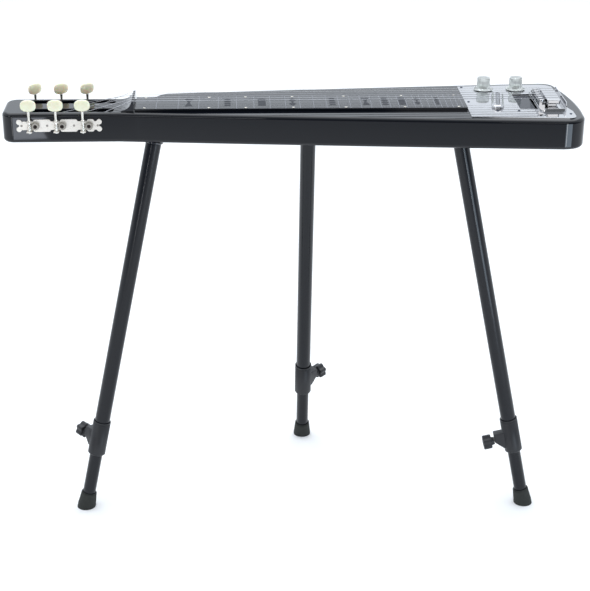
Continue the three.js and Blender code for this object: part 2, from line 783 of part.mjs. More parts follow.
function wormThread() {
  const stepsPerTurn = 8;
  const steps = wormThreads * stepsPerTurn;
  const inner = wormCoreRadius - seatGap;
  const section = [
    [inner, -toothRootWidth / 2], [wormRadius, -toothTipWidth / 2],
    [wormRadius, toothTipWidth / 2], [inner, toothRootWidth / 2],
  ];
  const vertices = [];
  const faces = [];
  for (let step = 0; step <= steps; step += 1) {
    const turn = (step / stepsPerTurn - wormThreads / 2) * 2 * Math.PI;
    for (const [radius, height] of section) {
      vertices.push(radius * Math.cos(turn), radius * Math.sin(turn), height + (wormLead * turn) / (2 * Math.PI));
    }
    if (step === 0) continue;
    const near = (step - 1) * section.length;
    const far = step * section.length;
    for (let side = 0; side < section.length; side += 1) {
      const next = (side + 1) % section.length;
      faces.push(near + side, near + next, far + next, near + side, far + next, far + side);
    }
  }
  const end = steps * section.length;
  faces.push(0, 2, 1, 0, 3, 2, end, end + 1, end + 2, end, end + 2, end + 3);
  const geometry = new THREE.BufferGeometry();
  geometry.setAttribute('position', new THREE.Float32BufferAttribute(vertices, 3));
  geometry.setIndex(faces);
  return signedVolume(geometry) < 0 ? flipped(geometry) : geometry;
}

function makeWorm() {
  const lugHalf = tunerLugThickness / 2 + seatGap;
  const coreLow = tunerLugBottom + lugHalf;
  const coreHigh = tunerLugTop - lugHalf;
  const beadLow = tunerLugTop + lugHalf;
  const seatHigh = buttonZ - tunerZ - buttonHeight / 2 + buttonSeatDepth;
  const shaft = turned([
    [0, tunerLugBottom - lugHalf - wormShaftFoot], [wormShaftRadius, tunerLugBottom - lugHalf - wormShaftFoot],
    [wormShaftRadius, coreLow], [wormCoreRadius, coreLow], [wormCoreRadius, coreHigh],
    [wormShaftRadius, coreHigh], [wormShaftRadius, beadLow], [wormBeadRadius, beadLow],
    [wormBeadRadius, beadLow + wormBeadHeight], [wormNeckRadius, beadLow + wormBeadHeight + wormTaperHeight],
    [wormNeckRadius, seatHigh], [0, seatHigh],
  ], 8);
  return joined(shaft, wormThread());
}

function makeButton() {
  const oval = new THREE.SphereGeometry(1, 12, 8).rotateX(Math.PI / 2)
    .scale(buttonWidth / 2, buttonThickness / 2, buttonHeight / 2);
  const seat = rod(wormNeckRadius + seatGap, -buttonHeight, -buttonHeight / 2 + buttonSeatDepth + seatGap, 8);
  return cut(oval, seat);
}

const tunerPlate = makeTunerPlate();
const post = makePost();
const worm = makeWorm();
const button = makeButton();

for (const [sideName, side] of Object.entries(sides)) {
  piece(guitar, `tuner_plate_${sideName}`, onSide(tunerPlate, side), nickel);
}

// String 1 is the far, thin one; strings 4 to 6 are wound from the near side of the head
for (let string = 1; string <= 6; string += 1) {
  const column = rollerColumn[string - 1];
  const sideName = string <= 3 ? 'back' : 'front';
  const side = sides[sideName];
  piece(guitar, `tuner_post_${string}`, onSide(post, side), nickel).position.x = postXs[column];
  const wormAxis = new THREE.Group();
  wormAxis.position.set(postXs[column] - wormDistance, side.faceY + side.outward * wormAxisOut, tunerZ);
  guitar.add(wormAxis);
  piece(wormAxis, `tuner_worm_${string}`, worm, nickel);
  const knob = piece(wormAxis, `tuner_button_${string}`, button, pearl);
  knob.position.z = buttonZ - tunerZ;
  knob.rotation.z = buttonTurns[sideName][column] * degrees;
}

// Strings: straight runs from roller to nut to saddle to anchor
class StringPath extends THREE.Curve {
  constructor(points) {
    super();
    this.points = points;
  }

  getPoint(t) {
    const place = Math.min(Math.max(t, 0), 1) * (this.points.length - 1);
    const start = Math.min(Math.floor(place), this.points.length - 2);
    return this.points[start].clone().lerp(this.points[start + 1], place - start);
  }

  getUtoTmapping(u) {
    return u;
  }
}

function makeString(string) {
  const radius = stringRadii[string - 1];
  const nutY = ((stringRadii.length + 1) / 2 - string) * nutSpacing;
  const bridgeStringY = ((stringRadii.length + 1) / 2 - string) * bridgeSpacing + bridgeY;
  const rise = radius + seatGap;
  const halfSaddle = saddleLobeRadius / 2;
  const points = [
    new THREE.Vector3(postXs[rollerColumn[string - 1]], rollerYs[string - 1], tunerZ + rollerRadius + rise),
    new THREE.Vector3(-nutCrestWidth, nutY, crestHeight + rise),
    new THREE.Vector3(nutCrestWidth, nutY, crestHeight + rise),
    new THREE.Vector3(saddleX - halfSaddle, bridgeStringY, saddleTop + rise),
    new THREE.Vector3(scaleLength + stringOverhang, bridgeStringY, saddleTop + rise),
    new THREE.Vector3(blockStartX - seatGap, bridgeStringY, blockTop - stringAnchorDepth),
  ];
  const section = new THREE.Shape();
  for (let corner = 0; corner < stringSides; corner += 1) {
    const turn = (corner / stringSides) * 2 * Math.PI;
    const x = radius * Math.cos(turn);
    const y = radius * Math.sin(turn);
    if (corner === 0) section.moveTo(x, y);
    else section.lineTo(x, y);
  }
  return sealed(new THREE.ExtrudeGeometry(section, {
    steps: points.length - 1, extrudePath: new StringPath(points),
  }));
}

for (let string = 1; string <= 6; string += 1) {
  piece(guitar, `string_${string}`, makeString(string), string <= 2 ? steel : nickel);
}

// Output jack: a flanged sleeve let into the far side
const jackFaceY = sideAt(backSide, jackX);
const jack = turned([
  [jackSleeveRadius - jackWall, -jackLength + overrun], [jackSleeveRadius, -jackLength + overrun],
  [jackSleeveRadius, -jackFlangeThickness + seatGap], [jackFlangeRadius, -jackFlangeThickness + seatGap],
  [jackFlangeRadius, seatGap], [jackBore, seatGap], [jackBore, -jackLength + jackWall],
  [jackSleeveRadius - jackWall, -jackLength + jackWall],
], 16);
piece(guitar, 'output_jack', jack.rotateX(-Math.PI / 2), chrome).position.set(jackX, jackFaceY, jackZ);

// Legs: socket in the body, tube with its stud, collar, sliding tube, foot and clamp knob
function makeSocket() {
  const bore = studRadius + seatGap;
  return turned([
    [bore, -socketFlangeThickness], [socketFlangeRadius, -socketFlangeThickness],
    [socketFlangeRadius, 0], [socketBarrelRadius, 0], [socketBarrelRadius, socketBarrelLength],
    [bore, socketBarrelLength],
  ], 20);
}

function makeUpperTube() {
  const shoulder = -socketFlangeThickness - seatGap;
  const inner = upperTubeRadius - tubeWall;
  return turned([
    [0, studLength], [studRadius, studLength], [studRadius, shoulder], [upperTubeRadius, shoulder],
    [upperTubeRadius, -upperTubeEnd], [inner, -upperTubeEnd], [inner, shoulder - upperPlugLength],
    [0, shoulder - upperPlugLength],
  ], 20);
}

function makeCollar(turn) {
  const sleeve = rod(collarRadius, -collarBottom, -collarTop, 20);
  const boss = block(bossReach, bossWidth, bossHeight, bossReach / 2, 0, -bossCentre);
  const step = -upperTubeEnd - seatGap;
  const upperBore = rod(upperTubeRadius + seatGap, step, -collarTop + overrun, 20);
  const lowerBore = rod(lowerTubeRadius + seatGap, -collarBottom - overrun, step + overrun, 20);
  const screwBore = rod(clampStudRadius + seatGap, 0, bossReach + overrun, 12)
    .rotateY(Math.PI / 2).translate(0, 0, -bossCentre);
  return cut(joined(sleeve, boss), upperBore, lowerBore, screwBore).rotateZ(turn);
}

function starOutline() {
  const shape = new THREE.Shape();
  const stepsPerLobe = 6;
  const steps = starLobes * stepsPerLobe;
  for (let step = 0; step < steps; step += 1) {
    const turn = (step / steps) * 2 * Math.PI;
    const dip = (starLobeDepthShare * (1 - Math.cos(starLobes * turn))) / 2;
    const radius = starRadius * (1 - dip);
    if (step === 0) shape.moveTo(radius, 0);
    else shape.lineTo(radius * Math.cos(turn), radius * Math.sin(turn));
  }
  return shape;
}

function makeClampKnob(turn) {
  const star = new THREE.ExtrudeGeometry(starOutline(), {
    depth: starThickness - 2 * starEdge,
    bevelEnabled: true,
    bevelThickness: starEdge,
    bevelSize: starEdge,
    bevelOffset: -starEdge,
    bevelSegments: 1,
  }).translate(0, 0, starStart + starEdge);
  const stud = rod(clampStudRadius, lowerTubeRadius + seatGap, starStart + starEdge + overrun, 12);
  return joined(star, stud).rotateY(Math.PI / 2).translate(0, 0, -bossCentre).rotateZ(turn);
}

function makeLowerTube() {
  const inner = lowerTubeRadius - tubeWall;
  const end = -footTop - footInnerDepth + seatGap;
  return turned([
    [inner, end], [lowerTubeRadius, end], [lowerTubeRadius, -lowerTubeTop], [inner, -lowerTubeTop],
  ], 20);
}

function makeFoot(frame) {
  const inner = lowerTubeRadius + seatGap;
  const low = -legLength - footLip;
  const cup = turned([
    [0, low], [footBottomRadius, low], [footBottomRadius, -legLength + 2 * footLip],
    [footTopRadius, -footTop], [inner, -footTop], [inner, -footTop - footInnerDepth],
    [0, -footTop - footInnerDepth],
  ], 20);
  const width = 4 * footBottomRadius;
  const floor = block(width, width, width, 0, 0, -width / 2)
    .applyQuaternion(frame.quaternion.clone().invert()).translate(0, 0, -legLength);
  return cut(cup, floor);
}

for (const [name, place] of Object.entries(legPlaces)) {
  const frame = legFrame(place);
  guitar.add(frame);
  const turn = (place.clamp - place.splay) * degrees;
  piece(frame, `leg_socket_${name}`, makeSocket(), chrome);
  piece(frame, `leg_upper_tube_${name}`, makeUpperTube(), satinBlack);
  piece(frame, `leg_collar_${name}`, makeCollar(turn), blackPlastic);
  piece(frame, `leg_lower_tube_${name}`, makeLowerTube(), satinBlack);
  piece(frame, `leg_foot_${name}`, makeFoot(frame), blackRubber);
  piece(frame, `leg_clamp_knob_${name}`, makeClampKnob(turn), blackPlastic);
}

// Stands the object with its feet on z = 0 and the middle of its box over the origin
const floorZ = -bodyThickness - legLength * Math.cos(legTilt * degrees);
const model = new THREE.Group();
model.add(guitar);
model.updateMatrixWorld(true);
const middle = new THREE.Box3().setFromObject(model, true).getCenter(new THREE.Vector3());
guitar.position.set(-middle.x, -middle.y, -floorZ);
model.updateMatrixWorld(true);

export default model;
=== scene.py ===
import json
import math

import bmesh
import bpy
from mathutils import Matrix, Vector


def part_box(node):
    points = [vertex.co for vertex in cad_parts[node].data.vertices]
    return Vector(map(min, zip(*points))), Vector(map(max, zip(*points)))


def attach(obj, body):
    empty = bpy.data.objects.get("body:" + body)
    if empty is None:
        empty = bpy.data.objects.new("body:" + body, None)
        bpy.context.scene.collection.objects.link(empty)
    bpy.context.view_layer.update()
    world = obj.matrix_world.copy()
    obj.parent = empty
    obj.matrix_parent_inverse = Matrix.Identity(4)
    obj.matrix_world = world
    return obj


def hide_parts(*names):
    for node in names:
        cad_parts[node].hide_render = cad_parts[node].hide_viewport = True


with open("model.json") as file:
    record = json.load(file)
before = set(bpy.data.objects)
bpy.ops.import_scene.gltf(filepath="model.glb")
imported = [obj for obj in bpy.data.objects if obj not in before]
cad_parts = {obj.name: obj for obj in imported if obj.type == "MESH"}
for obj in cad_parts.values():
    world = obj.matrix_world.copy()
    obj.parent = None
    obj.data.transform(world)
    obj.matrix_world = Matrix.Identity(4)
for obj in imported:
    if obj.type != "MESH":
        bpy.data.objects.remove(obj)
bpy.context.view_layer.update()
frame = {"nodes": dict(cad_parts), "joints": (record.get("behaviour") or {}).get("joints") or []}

# Studio: a pale floor, greyed towards the front with painted shade, in a white surround, with soft lamps
# and a long lens that stands 1.2 m above the floor and looks 24 degrees down. Lengths are metres; the
# guitar's own origin is the middle of the nut's crest line on the top of the body.
mm = 0.001
scene = bpy.context.scene
scene.view_settings.view_transform = "Standard"
joints = {joint["name"]: joint for joint in frame["joints"]}
nut_low, nut_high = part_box("nut")
nut_face = 1.5 * mm
origin = Vector((nut_high.x - nut_face, (nut_low.y + nut_high.y) / 2, nut_low.z))
body_frame = Matrix.Translation(origin)

image_width = 590
focal_pixels = 1510.63
sensor_width = 36
camera_place = origin + Vector((138.877, -2040.134, 618.558)) * mm
camera_yaw = math.radians(2.461)
camera_pitch = math.radians(24.058)
camera_roll = math.radians(0.297)

ahead = Vector((
    math.sin(camera_yaw) * math.cos(camera_pitch),
    math.cos(camera_yaw) * math.cos(camera_pitch),
    -math.sin(camera_pitch),
))
level = Vector((math.cos(camera_yaw), -math.sin(camera_yaw), 0))
upright = level.cross(ahead)
right = level * math.cos(camera_roll) + upright * math.sin(camera_roll)
up = upright * math.cos(camera_roll) - level * math.sin(camera_roll)
camera = bpy.data.objects.new("camera", bpy.data.cameras.new("camera"))
camera.data.sensor_fit = "HORIZONTAL"
camera.data.sensor_width = sensor_width
camera.data.lens = focal_pixels / image_width * sensor_width
camera_turn = Matrix((right, up, -ahead)).transposed().to_4x4()
camera.matrix_world = Matrix.Translation(camera_place) @ camera_turn
scene.collection.objects.link(camera)
scene.camera = camera


def linear(code):
    """The linear colour of an sRGB hex code."""
    shares = [int(code[i:i + 2], 16) / 255 for i in (1, 3, 5)]
    return tuple(s / 12.92 if s <= 0.04045 else ((s + 0.055) / 1.055) ** 2.4 for s in shares) + (1,)


def add(tree, kind, inputs=None, **settings):
    """Adds a node; each of its inputs is a value or another node's socket."""
    node = tree.nodes.new(kind)
    for key, value in settings.items():
        setattr(node, key, value)
    for key, value in (inputs or {}).items():
        if isinstance(value, bpy.types.NodeSocket):
            tree.links.new(value, node.inputs[key])
        else:
            node.inputs[key].default_value = value
    return node


def begin_finish(name, colour, **constants):
    """A material whose shader has that colour and those constants; gives it, its tree and its shader."""
    material = bpy.data.materials.new(name)
    material.use_nodes = True
    tree = material.node_tree
    shader = tree.nodes["Principled BSDF"]
    shader.inputs["Base Color"].default_value = linear(colour)
    for key, value in constants.items():
        shader.inputs[key.replace("_", " ").title().replace("Ior", "IOR")].default_value = value
    return material, tree, shader


# Studio paper: matt and white round the object; its colour greys towards the front as painted shade, for
# the dim camera side.
paper, tree, shader = begin_finish("graduated_studio_paper", "#F9F9F9", roughness=0.95)
where = add(tree, "ShaderNodeTexCoord").outputs["Object"]
depth = add(tree, "ShaderNodeSeparateXYZ", {0: where}).outputs["Y"]
painted_shade_fade = (-3.2, -0.9)
fade = add(tree, "ShaderNodeMapRange", {
    "Value": depth, "From Min": painted_shade_fade[0], "From Max": painted_shade_fade[1],
}, interpolation_type="SMOOTHSTEP")
# The grey mixed in towards the front is painted shade, standing for the dim light on the floor there.
tree.links.new(add(tree, "ShaderNodeMix", {
    0: fade.outputs["Result"], 6: linear("#777A80"), 7: linear("#FAFAFA"),
}, data_type="RGBA").outputs[2], shader.inputs["Base Color"])

floor_reach = 9
floor_mesh = bpy.data.meshes.new("floor")
floor_mesh.from_pydata([
    (-floor_reach, -floor_reach, 0), (floor_reach, -floor_reach, 0),
    (floor_reach, floor_reach, 0), (-floor_reach, floor_reach, 0),
], [], [(0, 1, 2, 3)])
floor_mesh.materials.append(paper)
floor = bpy.data.objects.new("floor", floor_mesh)
scene.collection.objects.link(floor)

# A white surround behind and above, which falls off to a dim room on the camera's side.
world = bpy.data.worlds.new("white_surround")
world.use_nodes = True
scene.world = world
tree = world.node_tree
heading = add(tree, "ShaderNodeTexCoord").outputs["Generated"]
behind = add(tree, "ShaderNodeVectorMath", {0: heading, 1: (0, 0.75, 0.66)}, operation="DOT_PRODUCT")
surround_fade = (-0.35, 0.35)
surround_strength = (0.2, 1.26)
glow = add(tree, "ShaderNodeMapRange", {
    "Value": behind.outputs["Value"], "From Min": surround_fade[0], "From Max": surround_fade[1],
    "To Min": surround_strength[0], "To Max": surround_strength[1],
}, interpolation_type="SMOOTHSTEP")
background = tree.nodes["Background"]
background.inputs["Color"].default_value = linear("#F0F7FF")
tree.links.new(glow.outputs["Result"], background.inputs["Strength"])


def lamp(name, width, height, place, target, radiance, colour="#FFFFFF"):
    """A soft rectangular lamp at a place in the guitar's frame, in mm, that faces a target."""
    light = bpy.data.lights.new(name, "AREA")
    light.shape = "RECTANGLE"
    light.size = width * mm
    light.size_y = height * mm
    light.energy = radiance * math.pi * light.size * light.size_y
    light.color = linear(colour)[:3]
    holder = bpy.data.objects.new(name, light)
    start = origin + Vector(place) * mm
    facing = origin + Vector(target) * mm - start
    turn = facing.to_track_quat("-Z", "Y").to_matrix().to_4x4()
    holder.matrix_world = Matrix.Translation(start) @ turn
    scene.collection.objects.link(holder)


lamp("overhead", 3600, 2400, (200, 900, 2300), (220, 300, 0), 1.6)
lamp("left_front", 500, 1000, (-1500, -1500, 700), (200, 0, 0), 2.5)
lamp("right_side_panel", 510, 420, (1062, -1100, -386), (600, -70, -20), 4.7, "#CFE2F4")
lamp("right_front_box", 800, 300, (980, -2300, 690), (560, -30, 0), 1.9)
lamp("left_front_box", 700, 400, (-500, -2200, 500), (-100, 0, 0), 2.5)
lamp("head_patch_panel", 102, 60, (-310, -1038, -340), (-130, -36, -20), 4.5, "#E2E9F6")
lamp("left_strip", 60, 700, (-760, -1700, -250), (28, -60, -200), 9)
lamp("right_strip", 60, 700, (1080, -1700, -250), (455, -60, -200), 9)


# Body: one plank of wood under thick black gloss lacquer, rubbed flat and polished. The head is
# slotted for the rollers, the top is routed for the electrics and the underside takes the legs.
thickness = 42 * mm
edge_radius = 5 * mm
head_length = 180 * mm
head_width = 74 * mm
head_centre = 1.3 * mm
head_corner = 16 * mm
head_front = head_centre - head_width / 2
head_back = head_centre + head_width / 2
front_flare_x = -20 * mm
back_flare_x = 13 * mm
back_flare_length = 32 * mm
back_flare_rise = 24 * mm
side_bulge = 5 * mm
tail_x = 622 * mm
tail_front = -86.5 * mm
tail_back = 99.5 * mm
tail_rake = 12 * mm
tail_bulge = 4.74 * mm
tail_front_radius = 32 * mm
tail_back_radius = 24 * mm
overrun = 1 * mm
seat_gap = 0.3 * mm


def bezier(*points, steps=24):
    """Points along a curve with those control points, without its first one."""
    result = []
    for step in range(1, steps + 1):
        layer = [Vector(point) for point in points]
        while len(layer) > 1:
            layer = [a.lerp(b, step / steps) for a, b in zip(layer, layer[1:])]
        result.append(tuple(layer[0]))
    return result


def arc(x, y, radius, start, end, steps=12):
    """Points along an arc, both ends included; its angles are in quarter turns."""
    turns = [math.radians(90) * (start + (end - start) * step / steps) for step in range(steps + 1)]
    return [(x + radius * math.cos(turn), y + radius * math.sin(turn)) for turn in turns]


def rounded_outline(x0, x1, y0, y1, radius, steps=8):
    return [
        *arc(x1 - radius, y0 + radius, radius, -1, 0, steps),
        *arc(x1 - radius, y1 - radius, radius, 0, 1, steps),
        *arc(x0 + radius, y1 - radius, radius, 1, 2, steps),
        *arc(x0 + radius, y0 + radius, radius, 2, 3, steps),
    ]


def inset(outline, distance):
    """The outline, which runs anticlockwise, moved inwards by a distance."""
    result = []
    count = len(outline)
    for i, point in enumerate(outline):
        before = Vector(point) - Vector(outline[i - 1])
        after = Vector(outline[(i + 1) % count]) - Vector(point)
        normals = [Vector((-edge.y, edge.x)).normalized() for edge in (before, after)]
        middle = (normals[0] + normals[1]).normalized()
        result.append(tuple(Vector(point) + middle * (distance / max(middle.dot(normals[0]), 0.5))))
    return result


def lofted(rings, looped=False):
    """A closed form through rings of points; a ring of one point is a pole."""
    vertices, faces, starts = [], [], []
    for ring in rings:
        starts.append((len(vertices), len(ring)))
        vertices.extend(ring)
    following = starts[1:] + starts[:1] if looped else starts[1:]
    for (low, low_count), (high, high_count) in zip(starts, following):
        count = max(low_count, high_count)
        for i in range(count):
            j = (i + 1) % count
            corners = (low + i % low_count, low + j % low_count,
                       high + j % high_count, high + i % high_count)
            faces.append(tuple(dict.fromkeys(corners)))
    if not looped:
        for start, count in (starts[0], starts[-1]):
            if count > 2:
                faces.append(tuple(range(start, start + count)))
    return vertices, faces


def lifted(outline, z):
    return [(x, y, z) for x, y in outline]


def prism(outline, low, high):
    return lofted([lifted(outline, low), lifted(outline, high)])


def pillow(outline, low, high, radius, steps=6, bottom=True):
    """A prism whose top edge, and bottom edge, is rounded over."""
    turns = [math.radians(90) * step / steps for step in range(steps + 1)]
    rings = [lifted(outline, low)]
    if bottom:
        rings = [lifted(inset(outline, radius * (1 - math.sin(turn))),
                        low + radius * (1 - math.cos(turn))) for turn in turns]
    rings += [lifted(inset(outline, radius * (1 - math.cos(turn))),
                     high - radius * (1 - math.sin(turn))) for turn in turns]
    return lofted(rings)


def circle(radius, z, segments=48, x=0, y=0):
    if radius == 0:
        return [(x, y, z)]
    turns = [math.tau * i / segments for i in range(segments)]
    return [(x + radius * math.cos(turn), y + radius * math.sin(turn), z) for turn in turns]


def turned(profile, segments=48, x=0, y=0):
    """A profile of (radius, height) pairs turned about z; one that starts off the axis is a ring."""
    rings = [circle(radius, z, segments, x, y) for radius, z in profile]
    return lofted(rings, looped=profile[0][0] != 0)


def shade(piece, angle=35):
    piece.data.shade_smooth()
    piece.data.set_sharp_from_angle(angle=math.radians(angle))


def make(name, forms, material, matrix=body_frame):
    """One mesh of closed forms, placed by a matrix."""
    build = bmesh.new()
    for vertices, faces in forms:
        corners = [build.verts.new(vertex) for vertex in vertices]
        for face in faces:
            build.faces.new([corners[i] for i in face])
    bmesh.ops.remove_doubles(build, verts=build.verts, dist=mm / 10000)
    bmesh.ops.recalc_face_normals(build, faces=build.faces)
    build.transform(matrix)
    mesh = bpy.data.meshes.new(name)
    build.to_mesh(mesh)
    build.free()
    mesh.materials.append(material)
    piece = bpy.data.objects.new(name, mesh)
    scene.collection.objects.link(piece)
    shade(piece)
    return piece


def settled(piece):
    """Turns what the modifiers show into the piece's own plain mesh."""
    graph = bpy.context.evaluated_depsgraph_get()
    mesh = bpy.data.meshes.new_from_object(
        piece.evaluated_get(graph), preserve_all_data_layers=True, depsgraph=graph)
    old = piece.data
    piece.modifiers.clear()
    piece.data = mesh
    bpy.data.meshes.remove(old)
    mesh.name = piece.name
    return piece


def combined(piece, operation, *tools):
    """Joins tools to a piece, or cuts them out of it, and removes the tools."""
    for tool in tools:
        modifier = piece.modifiers.new(tool.name, "BOOLEAN")
        modifier.operation = operation
        modifier.solver = "EXACT"
        modifier.object = tool
    settled(piece)
    for tool in tools:
        bpy.data.objects.remove(tool)
    return piece


def softened(piece, width, segments=3, angle=35):
    """Rounds the edges over and lets the flat faces rule the shading."""
    shade(piece, angle)
    if width:
        bevel = piece.modifiers.new("rounding", "BEVEL")
        bevel.width = width
        bevel.segments = segments
        bevel.limit_method = "ANGLE"
        bevel.angle_limit = math.radians(angle)
        bevel.use_clamp_overlap = True
    weighted = piece.modifiers.new("flat faces", "WEIGHTED_NORMAL")
    weighted.keep_sharp = True
    return settled(piece)


flare_end = back_flare_x + back_flare_length
tail_end = tail_x - tail_rake
front_side = ((front_flare_x, head_front),
              ((front_flare_x + tail_x) / 2, (head_front + tail_front) / 2 - side_bulge),
              (tail_x - tail_front_radius, tail_front))
back_side = ((tail_end - tail_back_radius, tail_back),
             ((flare_end + tail_x) / 2, (head_back + back_flare_rise + tail_back) / 2 + side_bulge),
             (flare_end, head_back + back_flare_rise))


def body_outline():
    turn = back_flare_length / 2
    return [
        (front_flare_x, head_front),
        *bezier(*front_side),
        *bezier(front_side[-1], (tail_x, tail_front),
                (tail_x, tail_front + tail_front_radius), steps=12),
        *bezier((tail_x, tail_front + tail_front_radius),
                (tail_x + tail_bulge, (tail_front + tail_back) / 2),
                (tail_end, tail_back - tail_back_radius)),
        *bezier((tail_end, tail_back - tail_back_radius), (tail_end, tail_back), back_side[0], steps=12),
        *bezier(*back_side),
        *bezier(back_side[-1], (flare_end - turn, head_back + back_flare_rise - side_bulge / 2),
                (back_flare_x + turn, head_back), (back_flare_x, head_back)),
        *arc(head_corner - head_length, head_back - head_corner, head_corner, 1, 2, 16),
        *arc(head_corner - head_length, head_front + head_corner, head_corner, 2, 3, 16),
    ]


def uneven(tree, shader, spacing, detail=2.0, roughness=None, colours=None, relief=None,
           stretch=None, swirl=0.0):
    """Varies a finish by a noise on Object coordinates: its roughness, its colour or its relief."""
    place = add(tree, "ShaderNodeTexCoord").outputs["Object"]
    if stretch:
        place = add(tree, "ShaderNodeMapping", {"Vector": place, "Scale": stretch}).outputs[0]
    noise = add(tree, "ShaderNodeTexNoise", {
        "Vector": place, "Scale": 1 / spacing, "Detail": detail, "Distortion": swirl}).outputs["Fac"]
    if roughness:
        varied = add(tree, "ShaderNodeMapRange", {
            "Value": noise, "To Min": roughness[0], "To Max": roughness[1]}).outputs["Result"]
        tree.links.new(varied, shader.inputs["Roughness"])
    if colours:
        varied = add(tree, "ShaderNodeMix", {
            0: noise, 6: linear(colours[0]), 7: linear(colours[1])}, data_type="RGBA").outputs[2]
        tree.links.new(varied, shader.inputs["Base Color"])
    if relief:
        varied = add(tree, "ShaderNodeBump", {
            "Height": noise, "Strength": relief[0], "Distance": relief[1]}).outputs["Normal"]
        tree.links.new(varied, shader.inputs["Normal"])


# Black polyester lacquer: sprayed and buffed, with a trace of orange peel and of polishing marks.
lacquer, tree, shader = begin_finish(
    "black_polyester_lacquer", "#080B12", roughness=0.05, ior=1.46)
uneven(tree, shader, spacing=3 * mm, detail=1.0, relief=(0.04, 0.03 * mm))
uneven(tree, shader, spacing=60 * mm, detail=4.0, roughness=(0.02, 0.06))

slot_start = -148 * mm
slot_end = -27 * mm
slot_width = 15.5 * mm
slot_corner = 3 * mm
slot_lip = 1 * mm
head_wall = 9 * mm
slot_centres = (head_front + head_wall + slot_width / 2, head_back - head_wall - slot_width / 2)
cavity = (485 * mm, 567 * mm, -44 * mm, 77 * mm)
cavity_depth = 31 * mm
cavity_corner = 8 * mm
roller_radius = 5 * mm
roller_tip_radius = 3 * mm
roller_tip_length = 6 * mm
jack_seat_radius = 10 * mm
jack_sleeve_radius = 6 * mm
jack_length = 24 * mm
jack_seat_depth = 2.4 * mm
socket_barrel_radius = 9 * mm
socket_barrel_length = 24 * mm
socket_flange_radius = 13.2 * mm
socket_clear = 26 * mm

body = make("lacquered_body", [pillow(body_outline(), -thickness, 0, edge_radius, 8)], lacquer)


def flared_slot(centre):
    """A slot cutter that widens at the top and bottom, so that the slot's lips are rounded."""
    outline = rounded_outline(
        slot_start, slot_end, centre - slot_width / 2, centre + slot_width / 2, slot_corner)
    turns = [math.radians(90) * step / 4 for step in range(5)]
    lip = [(slot_lip * (1 - math.cos(turn)), slot_lip * (1 - math.sin(turn))) for turn in turns]
    rings = [lifted(inset(outline, -out), -down) for out, down in lip]
    rings.append(lifted(inset(outline, -slot_lip), overrun))
    under = [lifted([(x, y) for x, y, _ in ring], -thickness - ring[0][2]) for ring in reversed(rings)]
    return lofted(under + rings)


def along_y(form):
    """Turns a form about x so that its own z runs along y."""
    vertices, faces = form
    return [(x, z, -y) for x, y, z in vertices], faces


def leg_frame(name):
    """The frame of a leg: z runs up the leg to the underside of the body, x runs to the clamp knob."""
    screw = joints[f"leg_{name}_screw"]
    z_axis = -Vector(screw["axis"])
    x_axis = Vector(joints[f"clamp_{name}_screw"]["axis"])
    place = Matrix((x_axis, z_axis.cross(x_axis), z_axis)).transposed().to_4x4()
    place.translation = Vector(screw["pos_m"])
    return place


legs = {name: leg_frame(name) for name in ("left", "right", "rear")}
cutters = [make(f"slot_{i}", [flared_slot(y)], lacquer) for i, y in enumerate(slot_centres)]
cutters.append(make("cavity", [
    prism(rounded_outline(*cavity, cavity_corner), -cavity_depth, overrun)], lacquer))
for name, place in legs.items():
    barrel = socket_barrel_length + seat_gap
    cutters.append(make(f"socket_hole_{name}", [turned([
        (0, -socket_clear), (socket_flange_radius + seat_gap, -socket_clear),
        (socket_flange_radius + seat_gap, seat_gap), (socket_barrel_radius + seat_gap, seat_gap),
        (socket_barrel_radius + seat_gap, barrel), (0, barrel),
    ])], lacquer, place))
for string in range(1, 7):
    place = Vector(joints[f"post_{string}_turn"]["pos_m"])
    direction = 1 if string <= 3 else -1
    face = origin.y + (head_back if string <= 3 else head_front)
    depth = head_wall + slot_width / 2
    bore = turned([
        (0, -depth - slot_width - roller_tip_length),
        (roller_tip_radius + seat_gap, -depth - slot_width),
        (roller_tip_radius + seat_gap, -depth), (roller_radius + seat_gap, -depth),
        (roller_radius + seat_gap, overrun), (0, overrun),
    ], 32)
    vertices = [(x, direction * z, y) for x, y, z in bore[0]]
    cutters.append(make(f"roller_hole_{string}", [(vertices, bore[1])], lacquer,
                        Matrix.Translation((place.x, face, place.z))))
jack_low, jack_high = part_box("output_jack")
jack_face = Vector((
    (jack_low.x + jack_high.x) / 2, jack_high.y - seat_gap, (jack_low.z + jack_high.z) / 2))
cutters.append(make("jack_hole", [along_y(turned([
    (0, -jack_length - overrun), (jack_sleeve_radius + seat_gap, -jack_length - overrun),
    (jack_sleeve_radius + seat_gap, -jack_seat_depth), (jack_seat_radius + seat_gap, -jack_seat_depth),
    (jack_seat_radius + seat_gap, jack_length), (0, jack_length),
]))], lacquer, Matrix.Translation(jack_face)))
combined(body, "DIFFERENCE", *cutters)
softened(body, 0)
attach(body, "guitar")
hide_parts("body")


# Fretboard: a black acrylic sheet with polished edges, screwed to the top. Its fret lines and
# markers are printed in pale and navy ink, since nobody presses a string down on it.
board_thickness = 3.7 * mm
board_start = 2.4 * mm
board_end = 464.1 * mm
board_widths = (56 * mm, 64 * mm)
scale_length = 571.5 * mm
line_width = 0.7 * mm
ink_height = 0.08 * mm
line_count = 28
line_margin = 0.6 * mm


def board_width(x):
    widening = board_widths[1] - board_widths[0]
    return board_widths[0] + widening * (x - board_start) / (board_end - board_start)


def fret_x(fret):
    return scale_length * (1 - 2 ** (-fret / 12))


# Cast acrylic: black in the mass and polished, so it mirrors the strings with a soft grey bloom.
acrylic, tree, shader = begin_finish(
    "black_cast_acrylic", "#0C1119", roughness=0.1, ior=1.55)
uneven(tree, shader, spacing=25 * mm, detail=5.0, roughness=(0.06, 0.14))

